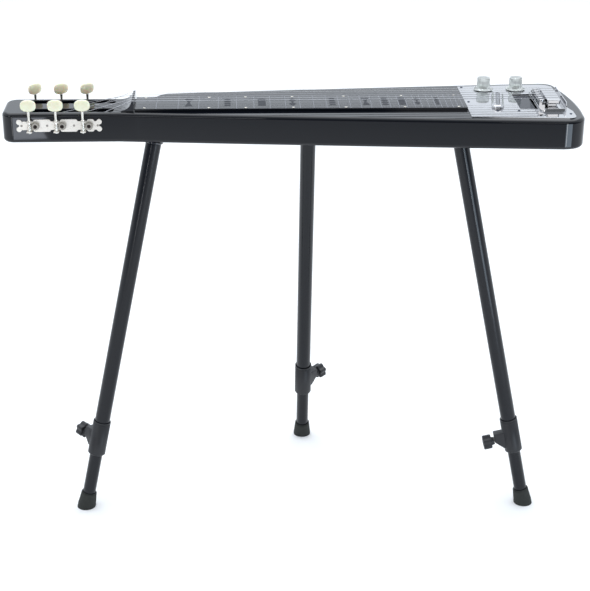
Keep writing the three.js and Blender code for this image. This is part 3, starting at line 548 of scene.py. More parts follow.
board = make("fretboard_sheet", [prism([
    (board_start, -board_widths[0] / 2), (board_end, -board_widths[1] / 2),
    (board_end, board_widths[1] / 2), (board_start, board_widths[0] / 2),
], 0, board_thickness)], acrylic)
softened(board, 0.5 * mm)
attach(board, "guitar")
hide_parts("fretboard")

# Screen ink: a thin matt layer with slightly uneven cover.
inks = {}
for ink_name, ink_colour, thin_colour, ink_ior in (("pale_screen_ink", "#8C8E96", "#6E7078", 1.5),
                                                   ("navy_screen_ink", "#1A1F2B", "#0F131C", 1.36)):
    inks[ink_name], tree, shader = begin_finish(ink_name, ink_colour, roughness=0.5, ior=ink_ior)
    uneven(tree, shader, spacing=2 * mm, detail=3.0, colours=(ink_colour, thin_colour))


def new_tree(name, **inputs):
    """An empty geometry tree with named inputs; gives it, its input node and their identifiers."""
    tree = bpy.data.node_groups.new(name, "GeometryNodeTree")
    tree.interface.new_socket("Geometry", in_out="INPUT", socket_type="NodeSocketGeometry")
    identifiers = {
        key: tree.interface.new_socket(key, in_out="INPUT", socket_type=f"NodeSocket{kind}").identifier
        for key, kind in inputs.items()
    }
    tree.interface.new_socket("Geometry", in_out="OUTPUT", socket_type="NodeSocketGeometry")
    return tree, tree.nodes.new("NodeGroupInput"), identifiers


def end_tree(tree, geometry, material_socket):
    """Ends a tree with real geometry and its material."""
    real = add(tree, "GeometryNodeRealizeInstances", {0: geometry})
    painted = add(tree, "GeometryNodeSetMaterial", {
        "Geometry": real.outputs[0], "Material": material_socket})
    add(tree, "NodeGroupOutput", {0: painted.outputs[0]})


def grown(name, points, tree, identifiers, matrix=body_frame, edges=(), **values):
    """A piece grown by a tree on points and edges, as a plain mesh."""
    mesh = bpy.data.meshes.new(name)
    mesh.from_pydata([matrix @ Vector(point) for point in points], edges, [])
    piece = bpy.data.objects.new(name, mesh)
    scene.collection.objects.link(piece)
    modifier = piece.modifiers.new(name, "NODES")
    modifier.node_group = tree
    for key, value in values.items():
        modifier[identifiers[key]] = value
    return settled(piece)


line_tree, given, line_inputs = new_tree(
    "fret lines", Scale="Float", Start_width="Float", Taper="Float", Count="Int", Line="Vector",
    Place="Vector", Ink="Material")
number = add(line_tree, "GeometryNodeInputIndex").outputs[0]
semitone = -1 / 12
power = add(line_tree, "ShaderNodeMath", {0: number, 1: semitone, 2: semitone}, operation="MULTIPLY_ADD")
left = add(line_tree, "ShaderNodeMath", {0: 2.0, 1: power.outputs[0]}, operation="POWER")
gone = add(line_tree, "ShaderNodeMath", {0: 1.0, 1: left.outputs[0]}, operation="SUBTRACT")
along = add(line_tree, "ShaderNodeMath", {
    0: gone.outputs[0], 1: given.outputs["Scale"]}, operation="MULTIPLY")
wide = add(line_tree, "ShaderNodeMath", {
    0: along.outputs[0], 1: given.outputs["Taper"], 2: given.outputs["Start_width"],
}, operation="MULTIPLY_ADD")
row = add(line_tree, "GeometryNodePoints", {"Count": given.outputs["Count"]})
offset = add(line_tree, "ShaderNodeCombineXYZ", {"X": along.outputs[0]})
moved = add(line_tree, "ShaderNodeVectorMath", {
    0: offset.outputs[0], 1: given.outputs["Place"]}, operation="ADD")
placed = add(line_tree, "GeometryNodeSetPosition", {
    "Geometry": row.outputs[0], "Position": moved.outputs[0]})
bar = add(line_tree, "GeometryNodeMeshCube", {"Size": given.outputs["Line"]})
stretch = add(line_tree, "ShaderNodeCombineXYZ", {"X": 1.0, "Y": wide.outputs[0], "Z": 1.0})
lines = add(line_tree, "GeometryNodeInstanceOnPoints", {
    "Points": placed.outputs[0], "Instance": bar.outputs[0], "Scale": stretch.outputs[0]})
end_tree(line_tree, lines.outputs[0], given.outputs["Ink"])
fret_lines = grown(
    "fret_lines", [(0, 0, 0)], line_tree, line_inputs, Scale=scale_length,
    Start_width=board_width(0) - 2 * line_margin,
    Taper=(board_widths[1] - board_widths[0]) / (board_end - board_start), Count=line_count,
    Line=(line_width, 1, ink_height), Place=origin + Vector((0, 0, board_thickness + ink_height / 2)),
    Ink=inks["pale_screen_ink"])
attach(fret_lines, "guitar")

marker_frets = (3, 5, 7, 9, 12, 15, 17, 19, 21, 24)
marker_length = 34 * mm
marker_width = 10.7 * mm
hourglass_shares = [[(-1, -1), (1, -1), (0.25, 0), (1, 1), (-1, 1), (-0.25, 0)]]
ladder_shares = [[(-1, low), (1, low), (0.6, low + 0.4), (-0.6, low + 0.4)]
                 for low in (-1, -0.45, 0.1, 0.6)]
block_shares = [[(-1, -1), (1, -1), (1, 1), (-1, 1)]]
lozenge_shares = [[(0, low), (1, low + 0.5), (0, low + 1), (-1, low + 0.5)] for low in (-1, 0)]
marker_shapes = (hourglass_shares, ladder_shares, block_shares, lozenge_shares, ladder_shares)
marker_forms = []
for number, fret in enumerate(marker_frets):
    middle = (fret_x(fret) + fret_x(fret - 1)) / 2
    reach = min(marker_width, 0.8 * (fret_x(fret) - fret_x(fret - 1)))
    for shape in marker_shapes[number % len(marker_shapes)]:
        outline = [(middle + a * reach / 2, b * marker_length / 2) for a, b in shape]
        marker_forms.append(prism(outline, board_thickness, board_thickness + ink_height))
markers = make("fret_markers", marker_forms, inks["navy_screen_ink"])
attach(markers, "guitar")


# Fretboard screws: domed, cross-recessed wood screws in bright nickel, along both long edges. The
# plates further on have smaller ones of the same shape.
nickel, tree, shader = begin_finish("bright_nickel_plate", "#D6D3CB", metallic=1.0, roughness=0.18)
uneven(tree, shader, spacing=4 * mm, detail=4.0, roughness=(0.1, 0.3))

screw_tree, given, screw_inputs = new_tree(
    "screws", Part="Object", Facing="Vector", Seed="Int", Metal="Material")
part = add(screw_tree, "GeometryNodeObjectInfo", {"Object": given.outputs["Part"]})
facing = add(screw_tree, "FunctionNodeAlignRotationToVector", {
    "Vector": given.outputs["Facing"]}, axis="Z")
heads = add(screw_tree, "GeometryNodeInstanceOnPoints", {
    "Points": given.outputs["Geometry"], "Instance": part.outputs["Geometry"],
    "Rotation": facing.outputs[0]})
chance = add(screw_tree, "FunctionNodeRandomValue", {
    0: (0, 0, 0), 1: (0, 0, math.pi), "Seed": given.outputs["Seed"]}, data_type="FLOAT_VECTOR")
spun = add(screw_tree, "GeometryNodeRotateInstances", {
    "Instances": heads.outputs[0], "Rotation": chance.outputs[0], "Local Space": True})
end_tree(screw_tree, spun.outputs[0], given.outputs["Metal"])


def screw_head(radius, height):
    """A domed head on the plane z = 0 with a cross cut into it."""
    rim = 0.35 * height
    dome = [(radius * math.cos(turn), rim + (height - rim) * math.sin(turn))
            for turn in (math.radians(15 * step) for step in range(6))]
    head = make("screw_head", [turned([(0, -overrun), (radius, -overrun), *dome, (0, height)], 32)],
                nickel, Matrix())
    arm = 0.62 * radius
    half = 0.13 * radius
    cross = [(half, -arm), (half, -half), (arm, -half), (arm, half), (half, half), (half, arm),
             (-half, arm), (-half, half), (-arm, half), (-arm, -half), (-half, -half), (-half, -arm)]
    tool = make("cross", [prism(cross, 0.4 * height, 2 * height)], nickel, Matrix())
    combined(head, "DIFFERENCE", tool)
    scene.collection.objects.unlink(head)
    return head


board_screw_xs = [16, 105, 156, 222, 295, 377, 452]
board_screw_margin = 4 * mm
board_screw = screw_head(2 * mm, 1 * mm)
points = []
for x in board_screw_xs:
    for side in (-1, 1):
        points.append((x * mm, side * (board_width(x * mm) / 2 - board_screw_margin), board_thickness))
board_screws = grown("fretboard_screws", points, screw_tree, screw_inputs,
                     Part=board_screw, Facing=(0, 0, 1), Seed=3, Metal=nickel)
shade(board_screws)
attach(board_screws, "guitar")


# Nut: a black-chromed casting with a hollow ramp on the head side, a crest and six small notches.
# It lifts the strings well clear of the board, as a steel bar needs.
nut_length = 17.5 * mm
nut_foot = 1.5 * mm
nut_width = 58 * mm
crest_width = 2 * nut_face
crest_height = 13.6 * mm
nut_spacing = 10.2 * mm
string_radii = [0.19 * mm, 0.23 * mm, 0.3 * mm, 0.38 * mm, 0.46 * mm, 0.53 * mm]

# Black chrome: plated in a dark bath and polished, so it mirrors faintly with a lilac cast.
black_chrome, tree, shader = begin_finish("black_chrome", "#0C0F1A", roughness=0.08, ior=1.6)
uneven(tree, shader, spacing=7 * mm, detail=4.0, roughness=(0.05, 0.14))


def string_y(string, spacing):
    return (3.5 - string) * spacing


def along_width(outline, width):
    """A form whose (x, z) outline runs across the guitar, centred on its middle line."""
    return lofted([[(x, side * width / 2, z) for x, z in outline] for side in (1, -1)])


ramp = bezier((-crest_width / 2, crest_height), (-nut_length / 4, crest_height / 4),
              (nut_face - nut_length, nut_foot))
nut = make("nut_casting", [along_width([
    (nut_face - nut_length, 0), (nut_face, 0), (nut_face, crest_height),
    (-crest_width / 2, crest_height), *ramp,
], nut_width)], black_chrome)
notches = []
for string, radius in enumerate(string_radii, 1):
    spot = Matrix.Translation((0, string_y(string, nut_spacing), crest_height + radius / 2))
    notches.append(make(f"notch_{string}", [along_y(turned([
        (0, -nut_width), (radius, -nut_width), (radius, nut_width), (0, nut_width),
    ], 12))], black_chrome, body_frame @ spot @ Matrix.Rotation(math.radians(90), 4, "Z")))
combined(nut, "DIFFERENCE", *notches)
softened(nut, 0.25 * mm, 2)
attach(nut, "guitar")
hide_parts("nut")


# Tuner plates: one on each side of the head, stamped from nickelled steel, with a notch between two
# lobes at each end and with turned-out lugs that hold the worms. Four small screws hold each.
worm_distance = 8.1 * mm
worm_axis_out = 4.8 * mm
plate_length = 117 * mm
plate_height = 17.5 * mm
plate_waist = 12 * mm
plate_sheet = 1.2 * mm
panel_lead = 3 * mm
panel_reach = 21 * mm
panel_radius = 3 * mm
ear_radius = 3.7 * mm
plate_past_last_post = 17.5 * mm
middle_screw_reach = 16 * mm
end_screw_insets = (7.1 * mm, 5.7 * mm)
lug_sheet = 1.5 * mm
lug_width = 7.5 * mm
lug_reach = 7.8 * mm
lug_heights = (6.1 * mm, -7.7 * mm)
neck_hole = 3.3 * mm
worm_hole = 2.05 * mm

# Stamped nickel: dull plating over rolled steel, with fine lines along the sheet. They are drawn
# coarser than the real ones, so that they show.
stamped, tree, shader = begin_finish("stamped_nickelled_sheet", "#F6F1E8", metallic=0.6, roughness=0.3)
uneven(tree, shader, spacing=0.5 * mm, stretch=(0.05, 1.0, 1.0), roughness=(0.2, 0.42))

# Worn nickel: rubbed to a warm grey by handling.
worn_nickel, tree, shader = begin_finish("worn_nickel_plate", "#A8A39B", metallic=1.0, roughness=0.35)
uneven(tree, shader, spacing=1.5 * mm, detail=5.0, colours=("#C2BEB7", "#8A847B"))


def side_frame(side):
    """The frame of one side of the head: x along the guitar, y outward, z up, at the tuners' height."""
    face, sign = (head_back, 1) if side == "back" else (head_front, -1)
    return Matrix.Translation((origin.x, origin.y + face, tuner_z)) @ Matrix.Diagonal((1, sign, 1, 1))


def outward(outline, near, far):
    """A form whose (x, z) outline runs outward from near to far."""
    return lofted([[(x, y, z) for x, z in outline] for y in (near, far)])


def outward_rod(radius, near, far, x, z=0, segments=32):
    return outward([(x + a, z + b) for a, b, _ in circle(radius, 0, segments)], near, far)


tuner_screw = screw_head(1.6 * mm, 0.7 * mm)
posts = [Vector(joints[f"post_{string}_turn"]["pos_m"]) for string in range(1, 7)]
tuner_z = posts[0].z
post_xs = sorted({round(place.x - origin.x, 6) for place in posts}, reverse=True)
for side in ("front", "back"):
    place = side_frame(side)
    end = post_xs[0] + plate_past_last_post
    start = end - plate_length
    half = plate_height / 2
    tuner_plate = make(f"tuner_plate_{side}", [outward([
        (start + ear_radius, -plate_waist / 2), (end - ear_radius, -plate_waist / 2),
        (end - ear_radius, plate_waist / 2), (start + ear_radius, plate_waist / 2),
    ], 0, plate_sheet)], stamped, place)
    tools = []
    for x in post_xs:
        reach = min(x + panel_reach, end - 2 * ear_radius - panel_radius)
        tools.append(outward(
            rounded_outline(x - panel_lead, reach, -half, half, panel_radius), 0, plate_sheet))
        rise = lug_sheet / 2
        left_edge = x - worm_distance - lug_width / 2
        right_edge = x - worm_distance + lug_width / 2
        for z in lug_heights:
            tools.append(outward([
                (left_edge, z - rise), (right_edge, z - rise),
                (right_edge, z + rise), (left_edge, z + rise),
            ], 0, lug_reach))
        tools.append(outward([
            (left_edge + rise, lug_heights[1]), (right_edge - rise, lug_heights[1]),
            (right_edge - rise, lug_heights[0]), (left_edge + rise, lug_heights[0]),
        ], 0, plate_sheet))
    for x in (start + ear_radius, end - ear_radius):
        for z in (ear_radius - half, half - ear_radius):
            tools.append(outward_rod(ear_radius, 0, plate_sheet, x, z))
    combined(tuner_plate, "UNION", *[
        make(f"plate_part_{i}", [form], stamped, place) for i, form in enumerate(tools)])
    holes = [make(f"neck_hole_{i}", [outward_rod(neck_hole, -overrun, 2 * plate_sheet, x)],
                  stamped, place) for i, x in enumerate(post_xs)]
    holes += [make(f"worm_hole_{i}", [turned([
        (0, -plate_height), (worm_hole, -plate_height), (worm_hole, plate_height), (0, plate_height),
    ], 24, x - worm_distance, worm_axis_out)], stamped, place) for i, x in enumerate(post_xs)]
    combined(tuner_plate, "DIFFERENCE", *holes)
    softened(tuner_plate, 0.25 * mm, 2)
    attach(tuner_plate, "guitar")
    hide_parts(f"tuner_plate_{side}")
    facing = place.to_3x3() @ Vector((0, 1, 0))
    screw_xs = (start + end_screw_insets[0], *(x + middle_screw_reach for x in post_xs[1:]),
                end - end_screw_insets[1])
    screws = grown(
        f"tuner_screws_{side}", [(x, plate_sheet, 0) for x in screw_xs], screw_tree, screw_inputs,
        place, Part=tuner_screw, Facing=facing, Seed=7, Metal=worn_nickel)
    shade(screws)
    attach(screws, "guitar")


# Tuner posts: each has a toothed wheel outside the plate, a roller across the slot for the string
# and a tip that turns in the head's middle rib. A dark slotted screw holds the wheel.
gear_teeth = 14
gear_radius = 5.6 * mm
tooth_depth = 1 * mm
tooth_tip = 0.75 * mm
tooth_root = 1.25 * mm
gear_thickness = 3.2 * mm
neck_radius = 3 * mm
gear_dish_radius = 3.8 * mm
gear_dish_depth = 0.5 * mm
gear_screw_radius = 3.1 * mm
gear_screw_groove = 0.7 * mm
post_tip_reach = head_wall + slot_width + roller_tip_length

# Blued screw steel: heat-blackened and oiled, darker in its slot.
blued, tree, shader = begin_finish("blued_screw_steel", "#2B2522", metallic=0.8, roughness=0.35)
uneven(tree, shader, spacing=1 * mm, detail=3.0, roughness=(0.25, 0.5))


def outward_turned(profile, x=0, segments=48):
    """A profile of (radius, reach) pairs turned about the outward axis."""
    vertices, faces = turned(profile, segments)
    return [(x + a, b, c) for a, c, b in vertices], faces


gear_outline = []
root_radius = gear_radius - tooth_depth
for tooth in range(gear_teeth):
    middle = (tooth + 0.5) / gear_teeth * math.tau
    for radius, width in ((root_radius, -tooth_root), (gear_radius, -tooth_tip),
                          (gear_radius, tooth_tip), (root_radius, tooth_root)):
        turn = middle + width / radius / 2
        gear_outline.append((radius * math.cos(turn), radius * math.sin(turn)))
gear_out = worm_axis_out + gear_thickness / 2
for string, spot in enumerate(posts, 1):
    side = "back" if string <= 3 else "front"
    place = side_frame(side) @ Matrix.Translation((spot.x - origin.x, 0, 0))
    gear = make(f"tuner_wheel_{string}", [outward(gear_outline, gear_out - gear_thickness, gear_out)],
                worn_nickel, place)
    dish = make("dish", [outward_turned([
        (0, gear_out - gear_dish_depth), (gear_dish_radius, gear_out - gear_dish_depth),
        (gear_dish_radius, gear_out + overrun), (0, gear_out + overrun),
    ])], worn_nickel, place)
    combined(gear, "DIFFERENCE", dish)
    softened(gear, 0.2 * mm, 2)
    roller = make(f"tuner_roller_{string}", [outward_turned([
        (0, -post_tip_reach), (roller_tip_radius, -post_tip_reach),
        (roller_tip_radius, seat_gap - head_wall - slot_width),
        (roller_radius, seat_gap - head_wall - slot_width), (roller_radius, -seat_gap),
        (neck_radius, -seat_gap), (neck_radius, gear_out - gear_thickness - seat_gap / 10),
        (0, gear_out - gear_thickness - seat_gap / 10),
    ])], nickel, place)
    softened(roller, 0.3 * mm, 2)
    screw = make(f"tuner_wheel_screw_{string}", [outward_turned([
        (0, gear_out - gear_dish_depth), (gear_screw_radius, gear_out - gear_dish_depth),
        (gear_screw_radius, gear_out - 0.2 * mm), (0.7 * gear_screw_radius, gear_out + 0.3 * mm),
        (0, gear_out + 0.4 * mm),
    ])], blued, place)
    half = gear_screw_groove / 2
    groove = make("groove", [outward([
        (-gear_radius, -half), (gear_radius, -half), (gear_radius, half), (-gear_radius, half),
    ], gear_out - 0.1 * mm, gear_out + overrun)], blued,
        place @ Matrix.Rotation(math.radians(20 + 50 * string), 4, "Y"))
    combined(screw, "DIFFERENCE", groove)
    shade(screw)
    for item in (gear, roller, screw):
        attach(item, f"post_{string}")
    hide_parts(f"tuner_post_{string}")


# Tuner worms and buttons: each worm is an upright nickelled shaft with three turns of thread that
# meet the wheel, a bead and a vase-shaped neck. Its pearled plastic button is moulded round the top.
worm_core = 2.1 * mm
worm_radius = 3.1 * mm
worm_turns = 3
worm_lead = math.tau * (gear_radius - 0.3 * mm) / gear_teeth
worm_shaft = 1.7 * mm
worm_tip_length = 1 * mm
# Pairs of (radius, height) in mm, above the bead's foot and above the button's lower end.
bead_profile = [(2.6, 0.3), (2.6, 1.2), (1.7, 1.8), (1.7, 5)]
stem_profile = [(2.1, -4), (2.25, 0), (1.6, 1), (1.6, 6), (0, 6)]
button_size = Vector((21.6, 7.6, 16.4)) * mm
button_z = 13 * mm
button_turns = (33, 26, 38, 0, 4, 0)
button_roundness = 2.5

# Pearled celluloid: cream-green, cast with mica swirls under a clear skin.
pearl, tree, shader = begin_finish(
    "pearled_celluloid", "#F6F5D9", roughness=0.22, coat_weight=0.5, coat_roughness=0.05,
    subsurface_weight=0.15)
uneven(tree, shader, spacing=6 * mm, detail=2.0, swirl=2.5, colours=("#F1EDC4", "#FFFEEA"))


def worm_form():
    """The thread, as a ridge that climbs round the worm's core."""
    steps = 24 * worm_turns
    rings = []
    for step in range(steps + 1):
        share = step / steps
        turn = (share - 0.5) * worm_turns * math.tau
        fade = min(1, 8 * share, 8 * (1 - share))
        tip = worm_core + (worm_radius - worm_core) * fade
        rise = worm_lead * turn / math.tau
        rings.append([
            (radius * math.cos(turn), radius * math.sin(turn), height + rise)
            for radius, height in ((worm_core - 0.3 * mm, -tooth_root / 2), (tip, -tooth_tip / 2),
                                   (tip, tooth_tip / 2), (worm_core - 0.3 * mm, tooth_root / 2))])
    return lofted(rings)


def button_form(segments=48, rings=24):
    """A flattened oval with full, rounded shoulders."""
    power = 2 / button_roundness
    result = []
    for ring in range(1, rings):
        low = math.pi * (ring / rings - 0.5)
        radius = math.cos(low) ** power
        height = math.copysign(abs(math.sin(low)) ** power, low) * button_size.z / 2
        result.append([(x * button_size.x / 2, y * button_size.y / 2, height)
                       for x, y, _ in circle(radius, 0, segments)])
    pole = [[(0, 0, side * button_size.z / 2)] for side in (-1, 1)]
    return lofted([pole[0], *result, pole[1]])


for string in range(1, 7):
    body_name = f"tuner_{string}"
    place = Matrix.Translation(joints[f"{body_name}_turn"]["pos_m"])
    lug_clear = lug_sheet / 2 + seat_gap
    bead = lug_heights[0] + lug_clear
    shoulder = origin.z + button_z - tuner_z - button_size.z / 2
    shaft = turned([
        (0, lug_heights[1] - lug_clear - worm_tip_length),
        (worm_shaft, lug_heights[1] - lug_clear - worm_tip_length),
        (worm_shaft, lug_heights[1] + lug_clear), (worm_core, lug_heights[1] + lug_clear),
        (worm_core, lug_heights[0] - lug_clear), (worm_shaft, lug_heights[0] - lug_clear),
        (worm_shaft, bead), *((radius * mm, bead + height * mm) for radius, height in bead_profile),
        *((radius * mm, shoulder + height * mm) for radius, height in stem_profile),
    ], 32)
    worm = make(f"tuner_worm_shaft_{string}", [shaft], nickel, place)
    combined(worm, "UNION", make("thread", [worm_form()], nickel, place))
    shade(worm)
    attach(worm, body_name)
    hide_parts(f"tuner_worm_{string}")
    turn = Matrix.Rotation(math.radians(button_turns[string - 1]), 4, "Z")
    button = make(f"tuner_button_pearl_{string}", [button_form()], pearl,
                  place @ Matrix.Translation((0, 0, shoulder + button_size.z / 2)) @ turn)
    shade(button, 80)
    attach(button, body_name)
    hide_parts(f"tuner_button_{string}")


# Strings: two plain and four wound steels, coiled on their rollers, over the nut and the saddles
# and into the anchor block. A tree follows each route with a round section.
bridge_y = 1 * mm
bridge_spacing = 10.4 * mm
saddle_radius = 4 * mm
saddle_x = scale_length - saddle_radius
saddle_top = crest_height
anchor_start = scale_length + 2.5 * mm
anchor_string_height = 12.6 * mm
string_overhang = 0.5 * mm
coil_turns = 2.5
roller_ys = [25.5 * mm, 22 * mm, 24 * mm, -18 * mm, -20 * mm, -23 * mm]

# Drawn music wire: tinned and bright.
plain_wire, tree, shader = begin_finish("drawn_music_wire", "#C9CBCE", metallic=1.0, roughness=0.2)
uneven(tree, shader, spacing=2 * mm, roughness=(0.15, 0.3))

# Wound wire: nickel ribbon round a steel core, so it carries fine rings along its length.
wound_wire, tree, shader = begin_finish("nickel_wound_wire", "#A9ABB0", metallic=1.0, roughness=0.3)
where = add(tree, "ShaderNodeTexCoord").outputs["Object"]
wrap_spacing = 0.3 * mm
wraps = add(tree, "ShaderNodeTexWave", {"Vector": where, "Scale": 1 / wrap_spacing / math.tau})
tree.links.new(add(tree, "ShaderNodeBump", {
    "Height": wraps.outputs["Fac"], "Strength": 0.4, "Distance": 0.05 * mm,
}).outputs["Normal"], shader.inputs["Normal"])

string_tree, given, string_inputs = new_tree("string", Radius="Float", Metal="Material")
route = add(string_tree, "GeometryNodeMeshToCurve", {0: given.outputs["Geometry"]})
section = add(string_tree, "GeometryNodeCurvePrimitiveCircle", {
    "Resolution": 10, "Radius": given.outputs["Radius"]})
tube = add(string_tree, "GeometryNodeCurveToMesh", {
    "Curve": route.outputs[0], "Profile Curve": section.outputs[0], "Fill Caps": True})
smooth = add(string_tree, "GeometryNodeSetShadeSmooth", {"Geometry": tube.outputs[0]})
end_tree(string_tree, smooth.outputs[0], given.outputs["Metal"])


def string_route(string):
    radius = string_radii[string - 1]
    post_x = posts[string - 1].x - origin.x
    post_z = tuner_z - origin.z
    reach = roller_radius + radius
    rise = radius + 0.05 * mm
    nut_y = string_y(string, nut_spacing)
    far_y = string_y(string, bridge_spacing) + bridge_y
    nut_place = Vector((-crest_width / 2, nut_y, crest_height + rise))
    gap = Vector((nut_place.x - post_x, nut_place.z - post_z))
    leave = math.atan2(gap.y, gap.x) + math.acos(reach / gap.length)
    inward = -1 if string <= 3 else 1
    points = []
    steps = round(24 * coil_turns)
    for step in range(steps, -1, -1):
        turn = leave + math.tau * step / 24
        y = roller_ys[string - 1] + inward * 2.1 * radius * step / 24
        points.append(Vector((post_x + reach * math.cos(turn), y, post_z + reach * math.sin(turn))))
    points += [
        nut_place,
        Vector((crest_width / 2, nut_y, crest_height + rise)),
        Vector((saddle_x - saddle_radius / 2, far_y, saddle_top + rise)),
        Vector((scale_length + string_overhang, far_y, saddle_top + rise)),
        Vector((anchor_start + 0.5 * mm, far_y, anchor_string_height)),
    ]
    return points


for string, radius in enumerate(string_radii, 1):
    points = string_route(string)
    metal = plain_wire if string <= 2 else wound_wire
    wire = grown(f"string_wire_{string}", points, string_tree, string_inputs,
                 edges=[(i, i + 1) for i in range(len(points) - 1)], Radius=radius, Metal=metal)
    shade(wire, 50)
    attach(wire, "guitar")
    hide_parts(f"string_{string}")


# Control plate: a chromed brass sheet that closes the cavity, with openings for both pickups and
# both controls. Seven small dark screws hold it down.
sheet = 1.2 * mm
plate_start = scale_length - 107 * mm
plate_end = tail_x - 13.5 * mm
plate_front_margin = 10 * mm
plate_back_margin = 13 * mm
plate_front_radius = 12 * mm
plate_back_radius = 20 * mm
plate_ear_length = 20 * mm
plate_ear_taper = 24 * mm
plate_rake = 6.5 * mm
cover_place = Vector((scale_length - 60.5 * mm, 2.2 * mm))
cover_slant = math.radians(-8.8)
core_size = (4.6 * mm, 57 * mm)
window_x = scale_length - 21.8 * mm
window_y = 3.3 * mm
window_width = 25 * mm
window_length = 72 * mm
control_xs = [scale_length - 71.5 * mm, scale_length - 25 * mm]
control_y = 63 * mm
bushing_radius = 3.6 * mm

# Polished chrome: plated over copper and nickel, a true mirror with a faint cast waviness.
chrome, tree, shader = begin_finish("polished_chrome", "#C3C3C5", metallic=1.0, roughness=0.05)
uneven(tree, shader, spacing=9 * mm, detail=1.0, relief=(0.1, 0.05 * mm))
uneven(tree, shader, spacing=15 * mm, detail=5.0, roughness=(0.03, 0.1))


def side_y(side, x):
    """The y of one side curve of the body where it passes x."""
    return min(bezier(*side, steps=200), key=lambda point: abs(point[0] - x))[1]


def plate_outline():
    front_end = side_y(front_side, plate_end) + plate_front_margin
    back_end = tail_back - plate_back_margin
    back_x = plate_end - plate_rake
    ear_end = front_end + plate_front_radius + plate_ear_length
    back_start = side_y(back_side, plate_start) - plate_back_margin
    front_corner = ((plate_end - plate_front_radius, front_end), (plate_end, front_end),
                    (plate_end, front_end + plate_front_radius))
    back_corner = ((back_x, back_end - plate_back_radius), (back_x, back_end),
                   (back_x - plate_back_radius, back_end))
    return [
        (plate_start, side_y(front_side, plate_start) + plate_front_margin),
        front_corner[0], *bezier(*front_corner, steps=12),
        (plate_end, ear_end), (back_x, ear_end + plate_ear_taper),
        back_corner[0], *bezier(*back_corner, steps=12),
        (plate_start, back_start),
    ]


cover_frame = body_frame @ Matrix.Translation((*cover_place, 0)) @ Matrix.Rotation(cover_slant, 4, "Z")
control_plate = make("control_plate_sheet", [prism(plate_outline(), 0, sheet)], chrome)
holes = [make("core_hole", [prism(rounded_outline(
    -core_size[0] / 2 - seat_gap, core_size[0] / 2 + seat_gap,
    -core_size[1] / 2 - seat_gap, core_size[1] / 2 + seat_gap, core_size[0] / 4,
), -overrun, 2 * sheet)], chrome, cover_frame), make("window_hole", [prism(rounded_outline(
    window_x - window_width / 2, window_x + window_width / 2,
    window_y - window_length / 2, window_y + window_length / 2, 1 * mm,
), -overrun, 2 * sheet)], chrome)]
for i, x in enumerate(control_xs):
    holes.append(make(f"bushing_hole_{i}", [prism(
        [(x + a, control_y + b) for a, b, _ in circle(bushing_radius + seat_gap, 0)],
        -overrun, 2 * sheet,
    )], chrome))
combined(control_plate, "DIFFERENCE", *holes)
softened(control_plate, 0.4 * mm, 3)
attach(control_plate, "guitar")
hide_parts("control_plate")

plate_screw_places = [
    (470, 75), (470, 3), (504.3, -41.3), (517.6, 43.6), (534.1, -40.6), (603, -57), (592, 70)]

# Black oxide: steel boiled in salts, blue-black and slightly matt.
oxide, tree, shader = begin_finish("black_oxide_steel", "#4A5160", metallic=1.0, roughness=0.4)
uneven(tree, shader, spacing=1 * mm, detail=3.0, roughness=(0.3, 0.5))
plate_screw = screw_head(1.8 * mm, 0.9 * mm)
plate_screws = grown("control_plate_screws", [(x * mm, y * mm, sheet) for x, y in plate_screw_places],
                     screw_tree, screw_inputs, Part=plate_screw, Facing=(0, 0, 1), Seed=11, Metal=oxide)
shade(plate_screws)
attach(plate_screws, "guitar")


# Slanted pickup: a domed, round-ended chromed cover with a slot that shows the bar of its poles,
# a stack of steel laminations.
cover_length = 74 * mm
cover_width = 17 * mm
cover_height = 5.3 * mm
cover_round = 4.6 * mm
cover_slot = (5.4 * mm, 58 * mm)
core_depth = 20 * mm
core_recess = 0.5 * mm


def stadium(width, length, steps=12):
    middle = (length - width) / 2
    return [*arc(0, middle, width / 2, 0, 2, steps), *arc(0, -middle, width / 2, 2, 4, steps)]


cover = make("pickup_cover_shell", [pillow(
    stadium(cover_width, cover_length), sheet, sheet + cover_height, cover_round, 10, bottom=False,
)], chrome, cover_frame)
combined(cover, "DIFFERENCE", make("cover_slot", [prism(
    stadium(*cover_slot), sheet - overrun, sheet + cover_height + overrun)], chrome, cover_frame))
softened(cover, 0.4 * mm, 3, 50)
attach(cover, "guitar")
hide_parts("pickup_cover")

# Laminated pole steel: grey, ground on its top.
pole_steel, tree, shader = begin_finish("ground_pole_steel", "#8F9196", metallic=0.9, roughness=0.35)
uneven(tree, shader, spacing=0.4 * mm, detail=2.0, roughness=(0.25, 0.45))
core_top = sheet + cover_height - core_recess
pole_gap = 0.5 * mm
pole_count = 6
pole_pitch = core_size[1] / pole_count
pole_half = (pole_pitch - pole_gap) / 2
poles = [pillow(
    rounded_outline(-core_size[0] / 2, core_size[0] / 2, y - pole_half, y + pole_half, 0.8 * mm),
    core_top - 3 * mm, core_top, 0.3 * mm, 3, bottom=False,
) for y in ((i - (pole_count - 1) / 2) * pole_pitch for i in range(pole_count))]
poles.append(prism(stadium(core_size[0] - 0.6 * mm, core_size[1] - 0.6 * mm),
                   core_top - core_depth, core_top - 2.8 * mm))
core = make("pickup_pole_bar", poles, pole_steel, cover_frame)
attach(core, "guitar")
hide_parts("pickup_core")


# Bridge pickup: a sealed, moulded black case that stands by its foot on the cavity's floor. Its flat
# top shows in the plate's window.
window_margin = 0.8 * mm
pickup_top = -2 * mm
pickup_depth = 18 * mm

